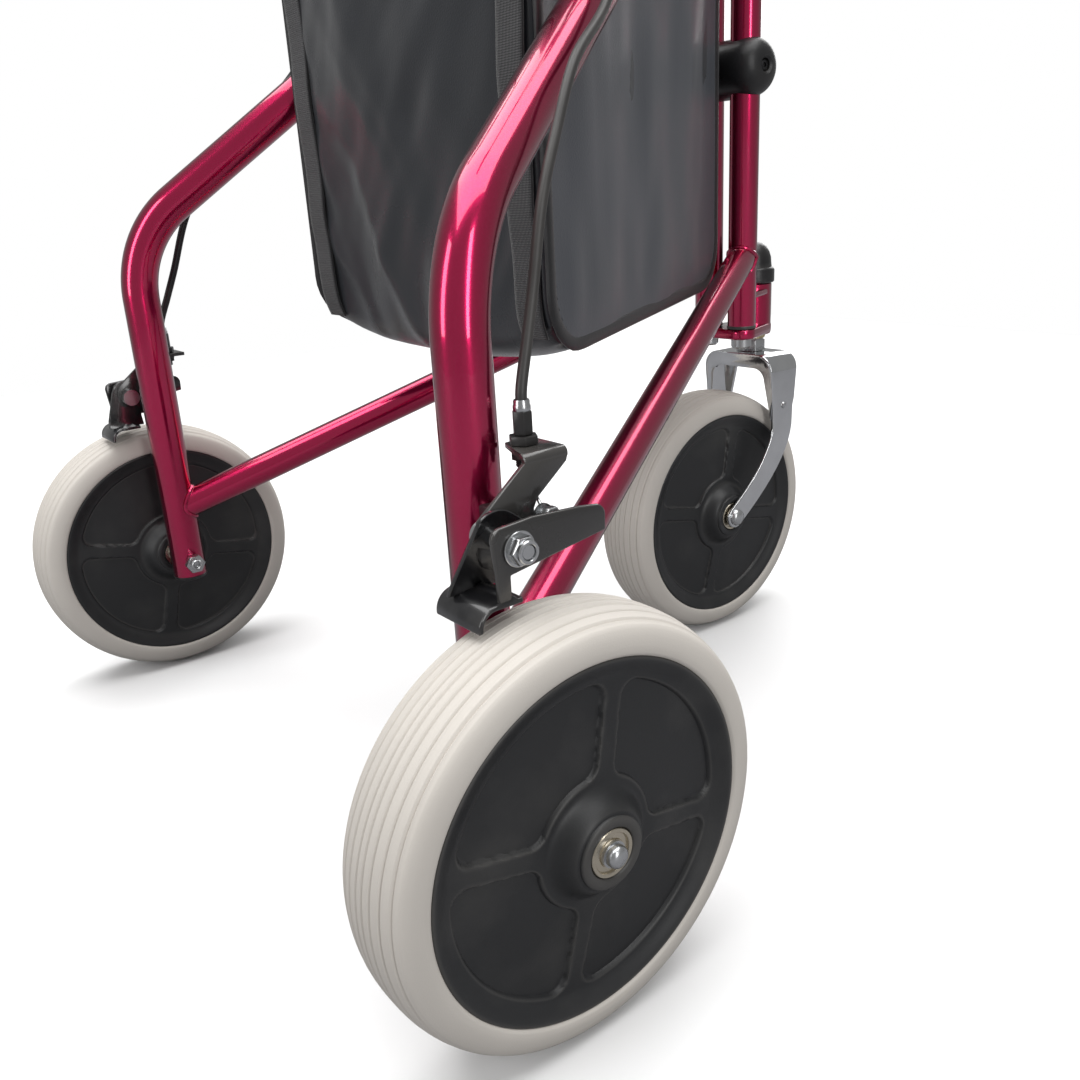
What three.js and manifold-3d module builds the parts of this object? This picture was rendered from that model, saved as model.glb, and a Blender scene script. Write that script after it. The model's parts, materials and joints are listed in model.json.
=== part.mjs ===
// Folding three-wheeled rollator walker. Millimetres, +Z up, forward along -Y, the user's right at -X.
import * as THREE from 'three';
import { mergeVertices } from 'three/addons/utils/BufferGeometryUtils.js';
import Module from 'manifold-3d';

const wasm = await Module();
wasm.setup();

// Layout in plan. The fork stem's axis is x 0, y 0 until the whole model is centred over the floor.
const RIGHT = -1;
const LEFT = 1;
const GAP = 0.3;
const TRAIL = 56;
const HINGE_X = 17.5;
const HINGE_Y = 32;
const LEG_X = 208.5;
const LEG_Y = 425;
const WHEEL_X = 260.8;
const REACH = Math.hypot(LEG_X - HINGE_X, LEG_Y - HINGE_Y);
const SPLAY = Math.atan2(LEG_X - HINGE_X, LEG_Y - HINGE_Y);
const WHEEL_RADIUS = 100;
const AXLE_Z = WHEEL_RADIUS;
const CENTRE_Y = (LEG_Y + WHEEL_RADIUS + TRAIL - WHEEL_RADIUS) / 2;

// Tubes: outer and inner radius.
const MAIN_TUBE = { outer: 12.7, inner: 11.2 };
const HINGE_TUBE = { outer: 11, inner: 9.5 };
const HANDLE_TUBE = { outer: 10.6, inner: 9.2 };
const TUBE_SIDES = 12;

// Side frame, measured along its own plane from the hinge axis.
const LEG_BOTTOM_Z = 88;
const LEG_CORNER_Z = 342;
const POST_T = 253.7;
const POST_CORNER_Z = 471.5;
const POST_TOP_Z = 700;
const MAIN_BEND = 80;
const HINGE_BOTTOM_Z = 250;
const RAIL_CORNER_Z = 628;
const RAIL_END_Z = 670;
const RAIL_BEND = 60;
const BRACE_LEG_Z = 142;
const BRACE_HINGE_Z = 304;

// Handlebar, grip and brake loop.
const GRIP_Z = 880;
const HANDLE_BOTTOM_Z = 570;
const HANDLE_BEND = 55;
const HOUSING_T = 314;
const HOUSING_LENGTH = 32;
const GRIP_T = 348;
const GRIP_END_T = 470;
const GRIP_RADIUS = 16;
const LOOP_PIVOT_T = 330;
const LOOP_PIVOT_Z = 856;
const LOOP_Z = 827;
const LOOP_END_T = 462;
const LOOP_HALF_WIDTH = 13;
const LOOP_ROD = 4;
const KNOB_Z = 684;

// Folding brace between the posts.
const LINK_PIVOT_X = 24;
const LINK_Z = 594;
const LINK_THICKNESS = 4;
const LINK_HALF_WIDTH = 8;

// Wheels, shared by all three.
const WHEEL_SIDES = 24;
const HUB_HALF = 32;
const HUB_BORE = 11.3;
const BEARING_WIDTH = 7;
const AXLE_RADIUS = 4;
const RIM_RADIUS = 82;
const RIM_HALF = 24;

// Head and caster.
const HEAD_BOTTOM_Z = 240;
const HEAD_TOP_Z = 281;
const CROWN_TOP_Z = 226;
const FORK_OUTER = 36;
const FORK_INNER = 33;
const CLAMP_LOWER_Z = 438;
const CLAMP_UPPER_Z = 545;

// Brake, measured from the leg's axis outwards, with heights from the floor.
const BRAKE_PIVOT_Y = 13;
const BRAKE_PIVOT_Z = 228;
const BRACKET_X = 30.5;
const BRACKET_SHEET = 2.5;
const TAB_Z = 256.5;
const ADJUSTER_X = 17.4;
const ADJUSTER_Y = -16;
const SHOE_TOP_Z = 207.5;
const SHOE_NOSE = 9;

// Bag: a tapered pouch between the side frames.
const BAG_FRONT_Y = 60;
const BAG_REAR_Y = 320;
const BAG_FRONT_HALF = 10;
const BAG_REAR_HALF = 134;
const BAG_BOTTOM_Z = 276;
const BAG_TOP_Z = 560;

function finish(color, roughness, metalness) {
  return new THREE.MeshStandardMaterial({ color, roughness, metalness });
}

const FINISH = {
  paint: finish(0x8e1130, 0.22, 0.6),
  chrome: finish(0xd8dadc, 0.08, 1),
  zinc: finish(0xb9b6a8, 0.35, 1),
  brakeBlack: finish(0x101012, 0.3, 0.5),
  plastic: finish(0x17181a, 0.45, 0),
  tyre: finish(0xd2cdc4, 0.75, 0),
  rim: finish(0x46474b, 0.4, 0.1),
  grip: finish(0x1c1c1e, 0.8, 0),
  vinyl: finish(0x2c2f35, 0.5, 0),
};

// Joins equal vertices, drops empty triangles and turns the faces outwards.
function closed(geometry) {
  const bare = geometry.index ? geometry.toNonIndexed() : geometry.clone();
  bare.deleteAttribute('normal');
  bare.deleteAttribute('uv');
  const merged = mergeVertices(bare, 1e-4);
  const corners = merged.index.array;
  const kept = [];
  for (let i = 0; i < corners.length; i += 3) {
    const [a, b, c] = [corners[i], corners[i + 1], corners[i + 2]];
    if (a !== b && b !== c && c !== a) kept.push(a, b, c);
  }
  const position = merged.attributes.position;
  const points = [0, 1, 2].map(() => new THREE.Vector3());
  let volume = 0;
  for (let i = 0; i < kept.length; i += 3) {
    points.forEach((point, k) => point.fromBufferAttribute(position, kept[i + k]));
    volume += points[0].dot(points[1].cross(points[2]));
  }
  if (volume < 0) kept.reverse();
  merged.setIndex(kept);
  return merged;
}

function solidOf(geometry) {
  const merged = closed(geometry);
  const vertProperties = new Float32Array(merged.attributes.position.array);
  const triVerts = new Uint32Array(merged.index.array);
  return new wasm.Manifold(new wasm.Mesh({ numProp: 3, vertProperties, triVerts }));
}

function geometryOf(solid) {
  const mesh = solid.getMesh();
  const geometry = new THREE.BufferGeometry();
  geometry.setAttribute('position', new THREE.BufferAttribute(mesh.vertProperties, 3));
  geometry.setIndex(new THREE.BufferAttribute(mesh.triVerts, 1));
  return geometry;
}

function cut(body, ...tools) {
  return geometryOf(tools.reduce((left, tool) => left.subtract(solidOf(tool)), solidOf(body)));
}

function join(body, ...others) {
  return geometryOf(others.reduce((left, other) => left.add(solidOf(other)), solidOf(body)));
}

// A path of straight stretches and round bends, with stations only where the direction changes.
class BentPath extends THREE.Curve {
  constructor(corners, bendRadius, arcSteps) {
    super();
    const first = corners[1].clone().sub(corners[0]).normalize();
    this.stations = [{ point: corners[0].clone(), tangent: first }];
    for (let i = 1; i < corners.length - 1; i += 1) {
      this.addBend(corners[i - 1], corners[i], corners[i + 1], bendRadius, arcSteps);
    }
    const last = corners.at(-1).clone().sub(corners.at(-2)).normalize();
    this.stations.push({ point: corners.at(-1).clone(), tangent: last });
    this.steps = this.stations.length - 1;
  }

  addBend(before, corner, after, radius, arcSteps) {
    const arriving = corner.clone().sub(before).normalize();
    const leaving = after.clone().sub(corner).normalize();
    const angle = arriving.angleTo(leaving);
    const inward = leaving.clone().addScaledVector(arriving, -Math.cos(angle)).normalize();
    const start = corner.clone().addScaledVector(arriving, -radius * Math.tan(angle / 2));
    for (let k = 0; k <= arcSteps; k += 1) {
      const turn = (angle * k) / arcSteps;
      const point = start.clone().addScaledVector(arriving, radius * Math.sin(turn));
      point.addScaledVector(inward, radius * (1 - Math.cos(turn)));
      const tangent = arriving.clone().multiplyScalar(Math.cos(turn));
      tangent.addScaledVector(inward, Math.sin(turn));
      this.stations.push({ point, tangent });
    }
  }

  getPointAt(u, target = new THREE.Vector3()) {
    return target.copy(this.stations[Math.round(u * this.steps)].point);
  }

  getTangentAt(u, target = new THREE.Vector3()) {
    return target.copy(this.stations[Math.round(u * this.steps)].tangent);
  }
}

function circle(radius, sides) {
  const points = [];
  for (let i = 0; i < sides; i += 1) {
    const angle = (2 * Math.PI * i) / sides;
    points.push(new THREE.Vector2(radius * Math.cos(angle), radius * Math.sin(angle)));
  }
  return points;
}

function tubeAlong(path, tube, sides = TUBE_SIDES) {
  const section = new THREE.Shape(circle(tube.outer, sides));
  if (tube.inner) section.holes.push(new THREE.Path(circle(tube.inner, sides)));
  return new THREE.ExtrudeGeometry(section, { steps: path.steps, extrudePath: path });
}

function straightTube(from, to, tube, sides = TUBE_SIDES) {
  return tubeAlong(new BentPath([from, to], 0, 1), tube, sides);
}

function rod(from, to, radius, sides = TUBE_SIDES) {
  return straightTube(from, to, { outer: radius }, sides);
}

// Turned pieces: the profile is [radius, distance along the axis].
function turnedZ(profile, sides = TUBE_SIDES) {
  const points = profile.map(([radius, along]) => new THREE.Vector2(radius, along));
  return closed(new THREE.LatheGeometry(points, sides, Math.PI / sides).rotateX(Math.PI / 2));
}

function turnedX(profile, sides = TUBE_SIDES) {
  const points = profile.map(([radius, along]) => new THREE.Vector2(radius, along));
  return closed(new THREE.LatheGeometry(points, sides, Math.PI / sides).rotateZ(-Math.PI / 2));
}

function ring(inner, outer, low, high) {
  return [[inner, low], [outer, low], [outer, high], [inner, high], [inner, low]];
}

// A flat plate standing in the Y-Z plane, its outline given as [y, z], from x low to x high.
function standingPlate(outline, low, high) {
  const shape = outline instanceof THREE.Shape ? outline : outlineShape(outline);
  const plate = new THREE.ExtrudeGeometry(shape, { depth: high - low, bevelEnabled: false, curveSegments: 5 });
  const turn = new THREE.Matrix4().makeBasis(axis(0, 1, 0), axis(0, 0, 1), axis(1, 0, 0));
  return plate.applyMatrix4(turn).translate(low, 0, 0);
}

// A flat plate lying in the X-Y plane, from z low to z high.
function lyingPlate(shape, low, high) {
  const plate = new THREE.ExtrudeGeometry(shape, { depth: high - low, bevelEnabled: false, curveSegments: 5 });
  return plate.translate(0, 0, low);
}

function outlineShape(outline) {
  return new THREE.Shape(outline.map(([a, b]) => new THREE.Vector2(a, b)));
}

function axis(x, y, z) {
  return new THREE.Vector3(x, y, z);
}

function block(width, depth, height, x, y, z) {
  return new THREE.BoxGeometry(width, depth, height).translate(x, y, z);
}

function piece(name, geometry, material) {
  const mesh = new THREE.Mesh(closed(geometry), material);
  mesh.name = name;
  return mesh;
}

function mirrored(geometry, side) {
  return side === LEFT ? geometry : closed(geometry).scale(-1, 1, 1);
}

function sideName(side) {
  return side === RIGHT ? 'right' : 'left';
}

// The bent main tube: leg, diagonal and post, with holes for the axle and the height screw.
function mainTube(side) {
  const corners = [
    axis(0, REACH, LEG_BOTTOM_Z),
    axis(0, REACH, LEG_CORNER_Z),
    axis(0, POST_T, POST_CORNER_Z),
    axis(0, POST_T, POST_TOP_Z),
  ];
  const tube = tubeAlong(new BentPath(corners, MAIN_BEND, 5), MAIN_TUBE);
  const turn = side * SPLAY;
  const reachOut = axis(Math.cos(turn), Math.sin(turn), 0).multiplyScalar(MAIN_TUBE.outer + 8);
  const axleCentre = axis(0, REACH, AXLE_Z);
  const axleHole = rod(axleCentre.clone().sub(reachOut), axleCentre.clone().add(reachOut), AXLE_RADIUS + 0.4, 12);
  const screwFrom = axis(side * 5, POST_T, KNOB_Z);
  const screwHole = rod(screwFrom, axis(side * 20, POST_T, KNOB_Z), AXLE_RADIUS + 0.4, 12);
  return cut(tube, axleHole, screwHole);
}

// The hinge tube: an upright at the head, bent rearwards into the top rail that meets the post.
function hingeTube() {
  const corners = [
    axis(0, 0, HINGE_BOTTOM_Z),
    axis(0, 0, RAIL_CORNER_Z),
    axis(0, POST_T, RAIL_END_Z),
  ];
  const post = rod(axis(0, POST_T, POST_CORNER_Z + MAIN_BEND), axis(0, POST_T, POST_TOP_Z + 20), MAIN_TUBE.outer + GAP);
  return cut(tubeAlong(new BentPath(corners, RAIL_BEND, 5), HINGE_TUBE), post);
}

function lowerBrace() {
  const tube = straightTube(axis(0, REACH, BRACE_LEG_Z), axis(0, 0, BRACE_HINGE_Z), HINGE_TUBE);
  const leg = rod(axis(0, REACH, LEG_BOTTOM_Z), axis(0, REACH, BRACE_LEG_Z + 60), MAIN_TUBE.outer + GAP);
  const hinge = rod(axis(0, 0, HINGE_BOTTOM_Z), axis(0, 0, BRACE_HINGE_Z + 60), HINGE_TUBE.outer + GAP);
  return cut(tube, leg, hinge);
}

function tyre() {
  const flat = 1 / Math.cos(Math.PI / WHEEL_SIDES);
  const inner = RIM_RADIUS + 0.8;
  const halves = [[inner, RIM_HALF], [90, RIM_HALF - 0.5], [96.5 * flat, 18], [WHEEL_RADIUS * flat, 8]];
  const left = halves.map(([radius, along]) => [radius, -along]);
  const right = halves.slice().reverse();
  return turnedX([...left, ...right, left[0]], WHEEL_SIDES);
}

function rim() {
  const half = [[HUB_BORE, HUB_HALF], [17, HUB_HALF], [28, 21.5], [72, 19.5], [RIM_RADIUS, RIM_HALF]];
  const left = half.map(([radius, along]) => [radius, -along]);
  return turnedX([...left, ...half.slice().reverse(), left[0]], WHEEL_SIDES);
}

function bearing(end) {
  const outer = end * (HUB_HALF - GAP);
  const inner = outer - end * BEARING_WIDTH;
  return turnedX(ring(AXLE_RADIUS + 0.3, HUB_BORE - 0.4, Math.min(outer, inner), Math.max(outer, inner)));
}

// One wheel: tyre, rim and two bearings, centred on its own axle.
function wheel(prefix, suffix, x, y) {
  const group = new THREE.Group();
  group.position.set(x, y, AXLE_Z);
  group.add(piece(`${prefix}_tyre${suffix}`, tyre(), FINISH.tyre));
  group.add(piece(`${prefix}_rim${suffix}`, rim(), FINISH.rim));
  group.add(piece(`${prefix}_bearing_a${suffix}`, bearing(-1), FINISH.zinc));
  group.add(piece(`${prefix}_bearing_b${suffix}`, bearing(1), FINISH.zinc));
  return group;
}

// Shoulder bolt: inner head, shank through the leg, spacer up to the bearing and a domed outer nut.
function rearAxle() {
  const wheelCentre = WHEEL_X - LEG_X;
  const innerFace = wheelCentre - HUB_HALF - GAP;
  const outerFace = wheelCentre + HUB_HALF + GAP;
  const tubeFace = MAIN_TUBE.outer + GAP;
  return turnedX([
    [0, -tubeFace - 6], [7, -tubeFace - 6], [7, -tubeFace], [AXLE_RADIUS, -tubeFace],
    [AXLE_RADIUS, tubeFace], [7.5, tubeFace], [7.5, innerFace], [AXLE_RADIUS, innerFace],
    [AXLE_RADIUS, outerFace], [6.5, outerFace], [5, outerFace + 3], [0, outerFace + 4],
  ]);
}

// Stamped bracket: welded pad, a strip leaning forwards and up past the pivot, and its folded tab.
function brakeBracket() {
  const pad = cut(
    block(22, 13, 20, 20.5, -1.5, 226),
    rod(axis(0, 0, 200), axis(0, 0, 250), MAIN_TUBE.outer + GAP, 24),
  );
  const outline = [
    [-27, TAB_Z], [-26, 253.5], [-8, 238], [-8, 216], [4, 214], [13, 214.5], [21, 217], [25, 224], [24, 232],
    [20, 236.5], [-4.5, TAB_Z],
  ];
  const strip = standingPlate(outline, BRACKET_X, BRACKET_X + BRACKET_SHEET);
  const tabOutline = [[33, -27], [33, -5], [14.5, -5], [8, -12.5], [8, -27]];
  const tab = lyingPlate(outlineShape(tabOutline), TAB_Z - 0.1, TAB_Z + BRACKET_SHEET);
  const pivotHole = rod(axis(10, BRAKE_PIVOT_Y, BRAKE_PIVOT_Z), axis(40, BRAKE_PIVOT_Y, BRAKE_PIVOT_Z), AXLE_RADIUS + 0.4);
  const cableHole = rod(axis(ADJUSTER_X, ADJUSTER_Y, 250), axis(ADJUSTER_X, ADJUSTER_Y, 270), 4.3);
  return cut(join(strip, pad, tab), pivotHole, cableHole);
}

// Two cheeks on the pivot and the shoe plate below them, its rear edge rolled down over the tread.
function brakeLever() {
  const outer = standingPlate([
    [25, 235.5], [21, 237.8], [5, 239], [-18, 237.5], [-27.5, 235.5], [-32.5, 230], [-32, 224.5], [16, 217.8],
    [16, 206], [23.5, 206],
  ], 46.5, 49);
  const inner = standingPlate([
    [33, 206], [22.5, 235.5], [14, 240.3], [6, 238.5], [-0.5, 233.5], [-15, 231.5], [-16, 226], [3, 220], [7, 206],
  ], 33.5, 36);
  const centreY = 25;
  const centreZ = SHOE_TOP_Z - SHOE_NOSE;
  const band = new THREE.Shape();
  band.moveTo(7, SHOE_TOP_Z);
  band.lineTo(centreY, SHOE_TOP_Z);
  band.absarc(centreY, centreZ, SHOE_NOSE, Math.PI / 2, -0.1, true);
  band.absarc(centreY, centreZ, SHOE_NOSE - 2.4, -0.1, Math.PI / 2, false);
  band.lineTo(7, SHOE_TOP_Z - 2.4);
  const shoe = standingPlate(band, 18, 49);
  const pivotHole = rod(axis(10, BRAKE_PIVOT_Y, BRAKE_PIVOT_Z), axis(60, BRAKE_PIVOT_Y, BRAKE_PIVOT_Z), AXLE_RADIUS + 0.4);
  return cut(join(outer, inner, shoe), pivotHole);
}

function brakePivotBolt() {
  const profile = [[0, 24], [6, 24], [6, 30.2], [AXLE_RADIUS, 30.2], [AXLE_RADIUS, 49.3], [6.8, 49.3], [6.8, 54], [0, 55]];
  return turnedX(profile, 12).translate(0, BRAKE_PIVOT_Y, BRAKE_PIVOT_Z);
}

function cableAdjuster() {
  const profile = [[0, 249], [3.8, 249], [3.8, 259.3], [6.5, 259.3], [6.5, 264.5], [5, 264.5], [5, 274.5], [0, 274.5]];
  return turnedZ(profile, 12).translate(ADJUSTER_X, ADJUSTER_Y, 0);
}

// Wheel end of a side frame, in axes square to the direction of travel, its origin under the leg.
function rearCorner(side) {
  const name = sideName(side);
  const corner = new THREE.Group();
  corner.position.set(0, REACH, 0);
  corner.rotation.z = side * SPLAY;
  corner.add(wheel('rear', `_${name}`, side * (WHEEL_X - LEG_X), 0));
  const axle = piece(`rear_axle_${name}`, mirrored(rearAxle(), side), FINISH.zinc);
  axle.position.z = AXLE_Z;
  corner.add(axle);
  corner.add(piece(`brake_bracket_${name}`, mirrored(brakeBracket(), side), FINISH.brakeBlack));
  corner.add(piece(`brake_lever_${name}`, mirrored(brakeLever(), side), FINISH.brakeBlack));
  corner.add(piece(`brake_pivot_bolt_${name}`, mirrored(brakePivotBolt(), side), FINISH.zinc));
  corner.add(piece(`cable_adjuster_${name}`, mirrored(cableAdjuster(), side), FINISH.plastic));
  return corner;
}

// The brake cable's route, [outwards, along the frame, height], from the adjuster up to the hand brake.
function brakeCable() {
  const outX = LEG_X + ADJUSTER_X - HINGE_X;
  const outY = LEG_Y + ADJUSTER_Y - HINGE_Y;
  const startX = outX * Math.cos(SPLAY) - outY * Math.sin(SPLAY);
  const startT = outX * Math.sin(SPLAY) + outY * Math.cos(SPLAY);
  const route = [
    axis(startX, startT, 275.2),
    axis(startX, startT - 0.3, 281),
    axis(22.5, 422, 300),
    axis(22.3, 414, 319),
    axis(22, 400, 355),
    axis(22, 383, 382),
    axis(21.5, 361, 410),
    axis(21, 322, 437),
    axis(20.5, 296, 470),
    axis(20, 285, 520),
    axis(19, 282, 600),
    axis(18.5, 283, 660),
    axis(17, 286, 720),
    axis(11, 290, 780),
    axis(4, 291, 825),
    axis(0, 300, 853),
    axis(0, 309, LOOP_PIVOT_Z),
    axis(0, 317.6, LOOP_PIVOT_Z),
  ];
  const curve = new THREE.CatmullRomCurve3(route, false, 'centripetal');
  const section = new THREE.Shape(circle(2.5, 8));
  return new THREE.ExtrudeGeometry(section, { steps: 44, extrudePath: curve });
}

function handlebar() {
  const corners = [
    axis(0, POST_T, HANDLE_BOTTOM_Z),
    axis(0, POST_T, GRIP_Z),
    axis(0, GRIP_END_T - 4, GRIP_Z),
  ];
  return tubeAlong(new BentPath(corners, HANDLE_BEND, 6), HANDLE_TUBE);
}

function grip() {
  const bore = HANDLE_TUBE.outer + 0.4;
  const length = GRIP_END_T - GRIP_T;
  const profile = [
    [bore, 0], [GRIP_RADIUS + 2, 0], [GRIP_RADIUS + 2, 4], [GRIP_RADIUS, 8], [GRIP_RADIUS, length - 5],
    [GRIP_RADIUS - 4, length], [0, length], [0, length - 3.5], [bore, length - 3.5], [bore, 0],
  ];
  return turnedX(profile, 20).rotateZ(Math.PI / 2).translate(0, GRIP_T, GRIP_Z);
}

// Clamp round the handlebar with the lug below it that carries the brake loop's pin.
function leverHousing() {
  const bore = HANDLE_TUBE.outer + 0.4;
  const collar = turnedX(ring(bore, 16.5, 0, HOUSING_LENGTH)).rotateZ(Math.PI / 2);
  const lug = block(15, HOUSING_LENGTH - 8, 22, 0, LOOP_PIVOT_T, LOOP_PIVOT_Z + 4);
  const barFrom = axis(0, HOUSING_T - 10, GRIP_Z);
  const bar = rod(barFrom, axis(0, HOUSING_T + HOUSING_LENGTH + 10, GRIP_Z), bore);
  const pinFrom = axis(-20, LOOP_PIVOT_T, LOOP_PIVOT_Z);
  const pin = rod(pinFrom, axis(20, LOOP_PIVOT_T, LOOP_PIVOT_Z), 4, 12);
  return cut(join(collar.translate(0, HOUSING_T, GRIP_Z), lug), bar, pin);
}

// Closed loop of rod under the grip, hung on a cross pin.
function brakeLoop() {
  const path = new BentPath([
    axis(-LOOP_HALF_WIDTH + 1, LOOP_PIVOT_T, LOOP_PIVOT_Z),
    axis(-LOOP_HALF_WIDTH, LOOP_PIVOT_T + 24, LOOP_Z),
    axis(-LOOP_HALF_WIDTH, LOOP_END_T, LOOP_Z),
    axis(LOOP_HALF_WIDTH, LOOP_END_T, LOOP_Z),
    axis(LOOP_HALF_WIDTH, LOOP_PIVOT_T + 24, LOOP_Z),
    axis(LOOP_HALF_WIDTH - 1, LOOP_PIVOT_T, LOOP_PIVOT_Z),
  ], 12, 3);
  const halfPin = LOOP_HALF_WIDTH + 1.5;
  const pinFrom = axis(-halfPin, LOOP_PIVOT_T, LOOP_PIVOT_Z);
  const pin = rod(pinFrom, axis(halfPin, LOOP_PIVOT_T, LOOP_PIVOT_Z), 3.4, 12);
  return join(tubeAlong(path, { outer: LOOP_ROD }, 8), pin);
}

function heightKnob() {
  const profile = [[0, 11.5], [AXLE_RADIUS, 11.5], [AXLE_RADIUS, 16], [9, 16], [9, 23], [19, 24], [19, 36], [15, 39], [0, 39]];
  return turnedX(profile);
}

// Bracket on the post's inner side with the pin that the brace link turns on.
function braceBracket() {
  const pinTop = LINK_Z + 2 * LINK_THICKNESS + 4;
  const arm = block(LINK_PIVOT_X + 6, 16, 8, (LINK_PIVOT_X + 6) / 2, 0, LINK_Z - GAP - 4);
  const post = rod(axis(0, 0, LINK_Z - 30), axis(0, 0, LINK_Z + 30), MAIN_TUBE.outer + GAP);
  const pin = rod(axis(LINK_PIVOT_X, 0, LINK_Z - 4), axis(LINK_PIVOT_X, 0, pinTop), AXLE_RADIUS - 0.5, 12);
  return join(cut(arm, post), pin);
}

// Flat link with round ends, from its pivot at 0 to the middle of the walker; sleeve at the upper one's pivot.
function braceLink(length, low) {
  const shape = new THREE.Shape();
  shape.absarc(0, 0, LINK_HALF_WIDTH, Math.PI / 2, -Math.PI / 2, false);
  shape.absarc(length, 0, LINK_HALF_WIDTH, -Math.PI / 2, Math.PI / 2, false);
  shape.holes.push(new THREE.Path(circle(AXLE_RADIUS, 12)));
  return lyingPlate(shape, low, low + LINK_THICKNESS);
}

function sideFrame(side) {
  const name = sideName(side);
  const frame = new THREE.Group();
  frame.position.set(side * HINGE_X, HINGE_Y, 0);
  frame.rotation.z = -side * SPLAY;
  frame.add(piece(`main_tube_${name}`, mainTube(side), FINISH.paint));
  frame.add(piece(`hinge_tube_${name}`, hingeTube(), FINISH.paint));
  frame.add(piece(`lower_brace_${name}`, lowerBrace(), FINISH.paint));
  frame.add(rearCorner(side));
  frame.add(piece(`brake_cable_${name}`, mirrored(brakeCable(), side), FINISH.plastic));
  frame.add(piece(`handlebar_${name}`, handlebar(), FINISH.paint));
  frame.add(piece(`grip_${name}`, grip(), FINISH.grip));
  frame.add(piece(`lever_housing_${name}`, leverHousing(), FINISH.plastic));
  frame.add(piece(`brake_loop_${name}`, brakeLoop(), FINISH.plastic));
  const knob = piece(`height_knob_${name}`, mirrored(heightKnob(), side), FINISH.plastic);
  knob.position.set(0, POST_T, KNOB_Z);
  frame.add(knob);
  const bracket = piece(`brace_bracket_${name}`, mirrored(braceBracket(), -side), FINISH.plastic);
  bracket.position.set(0, POST_T, 0);
  frame.add(bracket);
  return frame;
}

// The two links of the folding brace, one above the other, meeting at the middle of the walker.
function foldingBrace() {
  const brace = new THREE.Group();
  const pivotX = HINGE_X + POST_T * Math.sin(SPLAY) - LINK_PIVOT_X * Math.cos(SPLAY);
  const pivotY = HINGE_Y + POST_T * Math.cos(SPLAY) + LINK_PIVOT_X * Math.sin(SPLAY);
  for (const side of [RIGHT, LEFT]) {
    const low = side === RIGHT ? LINK_Z + LINK_THICKNESS + GAP : LINK_Z;
    const link = piece(`brace_link_${sideName(side)}`, mirrored(braceLink(pivotX, low), -side), FINISH.brakeBlack);
    link.position.set(side * pivotX, pivotY, 0);
    brace.add(link);
  }
  const latchBottom = LINK_Z + 2 * LINK_THICKNESS + 2 * GAP;
  const latchProfile = [[0, 0], [13, 0], [15, 3], [15, 10], [12, 14], [0, 14]];
  const latch = piece('brace_latch', turnedZ(latchProfile), FINISH.plastic);
  latch.position.set(0, pivotY, latchBottom);
  brace.add(latch);
  return brace;
}

// Outline of a lug plate: round the head tube in front and the two hinge tubes behind.
function lugOutline() {
  const shape = new THREE.Shape();
  shape.absarc(0, 0, 20, Math.PI + 0.35, -0.35, false);
  shape.absarc(HINGE_X, HINGE_Y, 15.5, -0.35, Math.PI / 2, false);
  shape.absarc(-HINGE_X, HINGE_Y, 15.5, Math.PI / 2, Math.PI + 0.35, false);
  return shape;
}

function lug(low, high, hingeHole) {
  const shape = lugOutline();
  shape.holes.push(new THREE.Path(circle(16 + GAP, 24)));
  for (const side of [RIGHT, LEFT]) {
    const hole = circle(hingeHole, TUBE_SIDES).map((p) => p.add(new THREE.Vector2(side * HINGE_X, HINGE_Y)));
    shape.holes.push(new THREE.Path(hole));
  }
  return lyingPlate(shape, low, high);
}

function hingePin(side) {
  const profile = [[0, 234], [8, 234], [8, 240.6], [5.5, 240.6], [5.5, 296], [0, 298]];
  return turnedZ(profile, 12).translate(side * HINGE_X, HINGE_Y, 0);
}

// Plastic clamp: a short round bar along X with flats above and below, bored for both hinge tubes.
function hingeClamp(z) {
  const round = turnedX([[0, -34], [18, -34], [20.5, -31], [20.5, 31], [18, 34], [0, 34]], 24);
  const flatTop = block(80, 60, 10, 0, 0, 17.5 + 5);
  const flatBottom = block(80, 60, 10, 0, 0, -17.5 - 5);
  const bores = [RIGHT, LEFT].map((side) => {
    return rod(axis(side * HINGE_X, 0, -40), axis(side * HINGE_X, 0, 40), HINGE_TUBE.outer + 0.5, 24);
  });
  return cut(round, flatTop, flatBottom, ...bores).translate(0, HINGE_Y, z);
}

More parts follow.
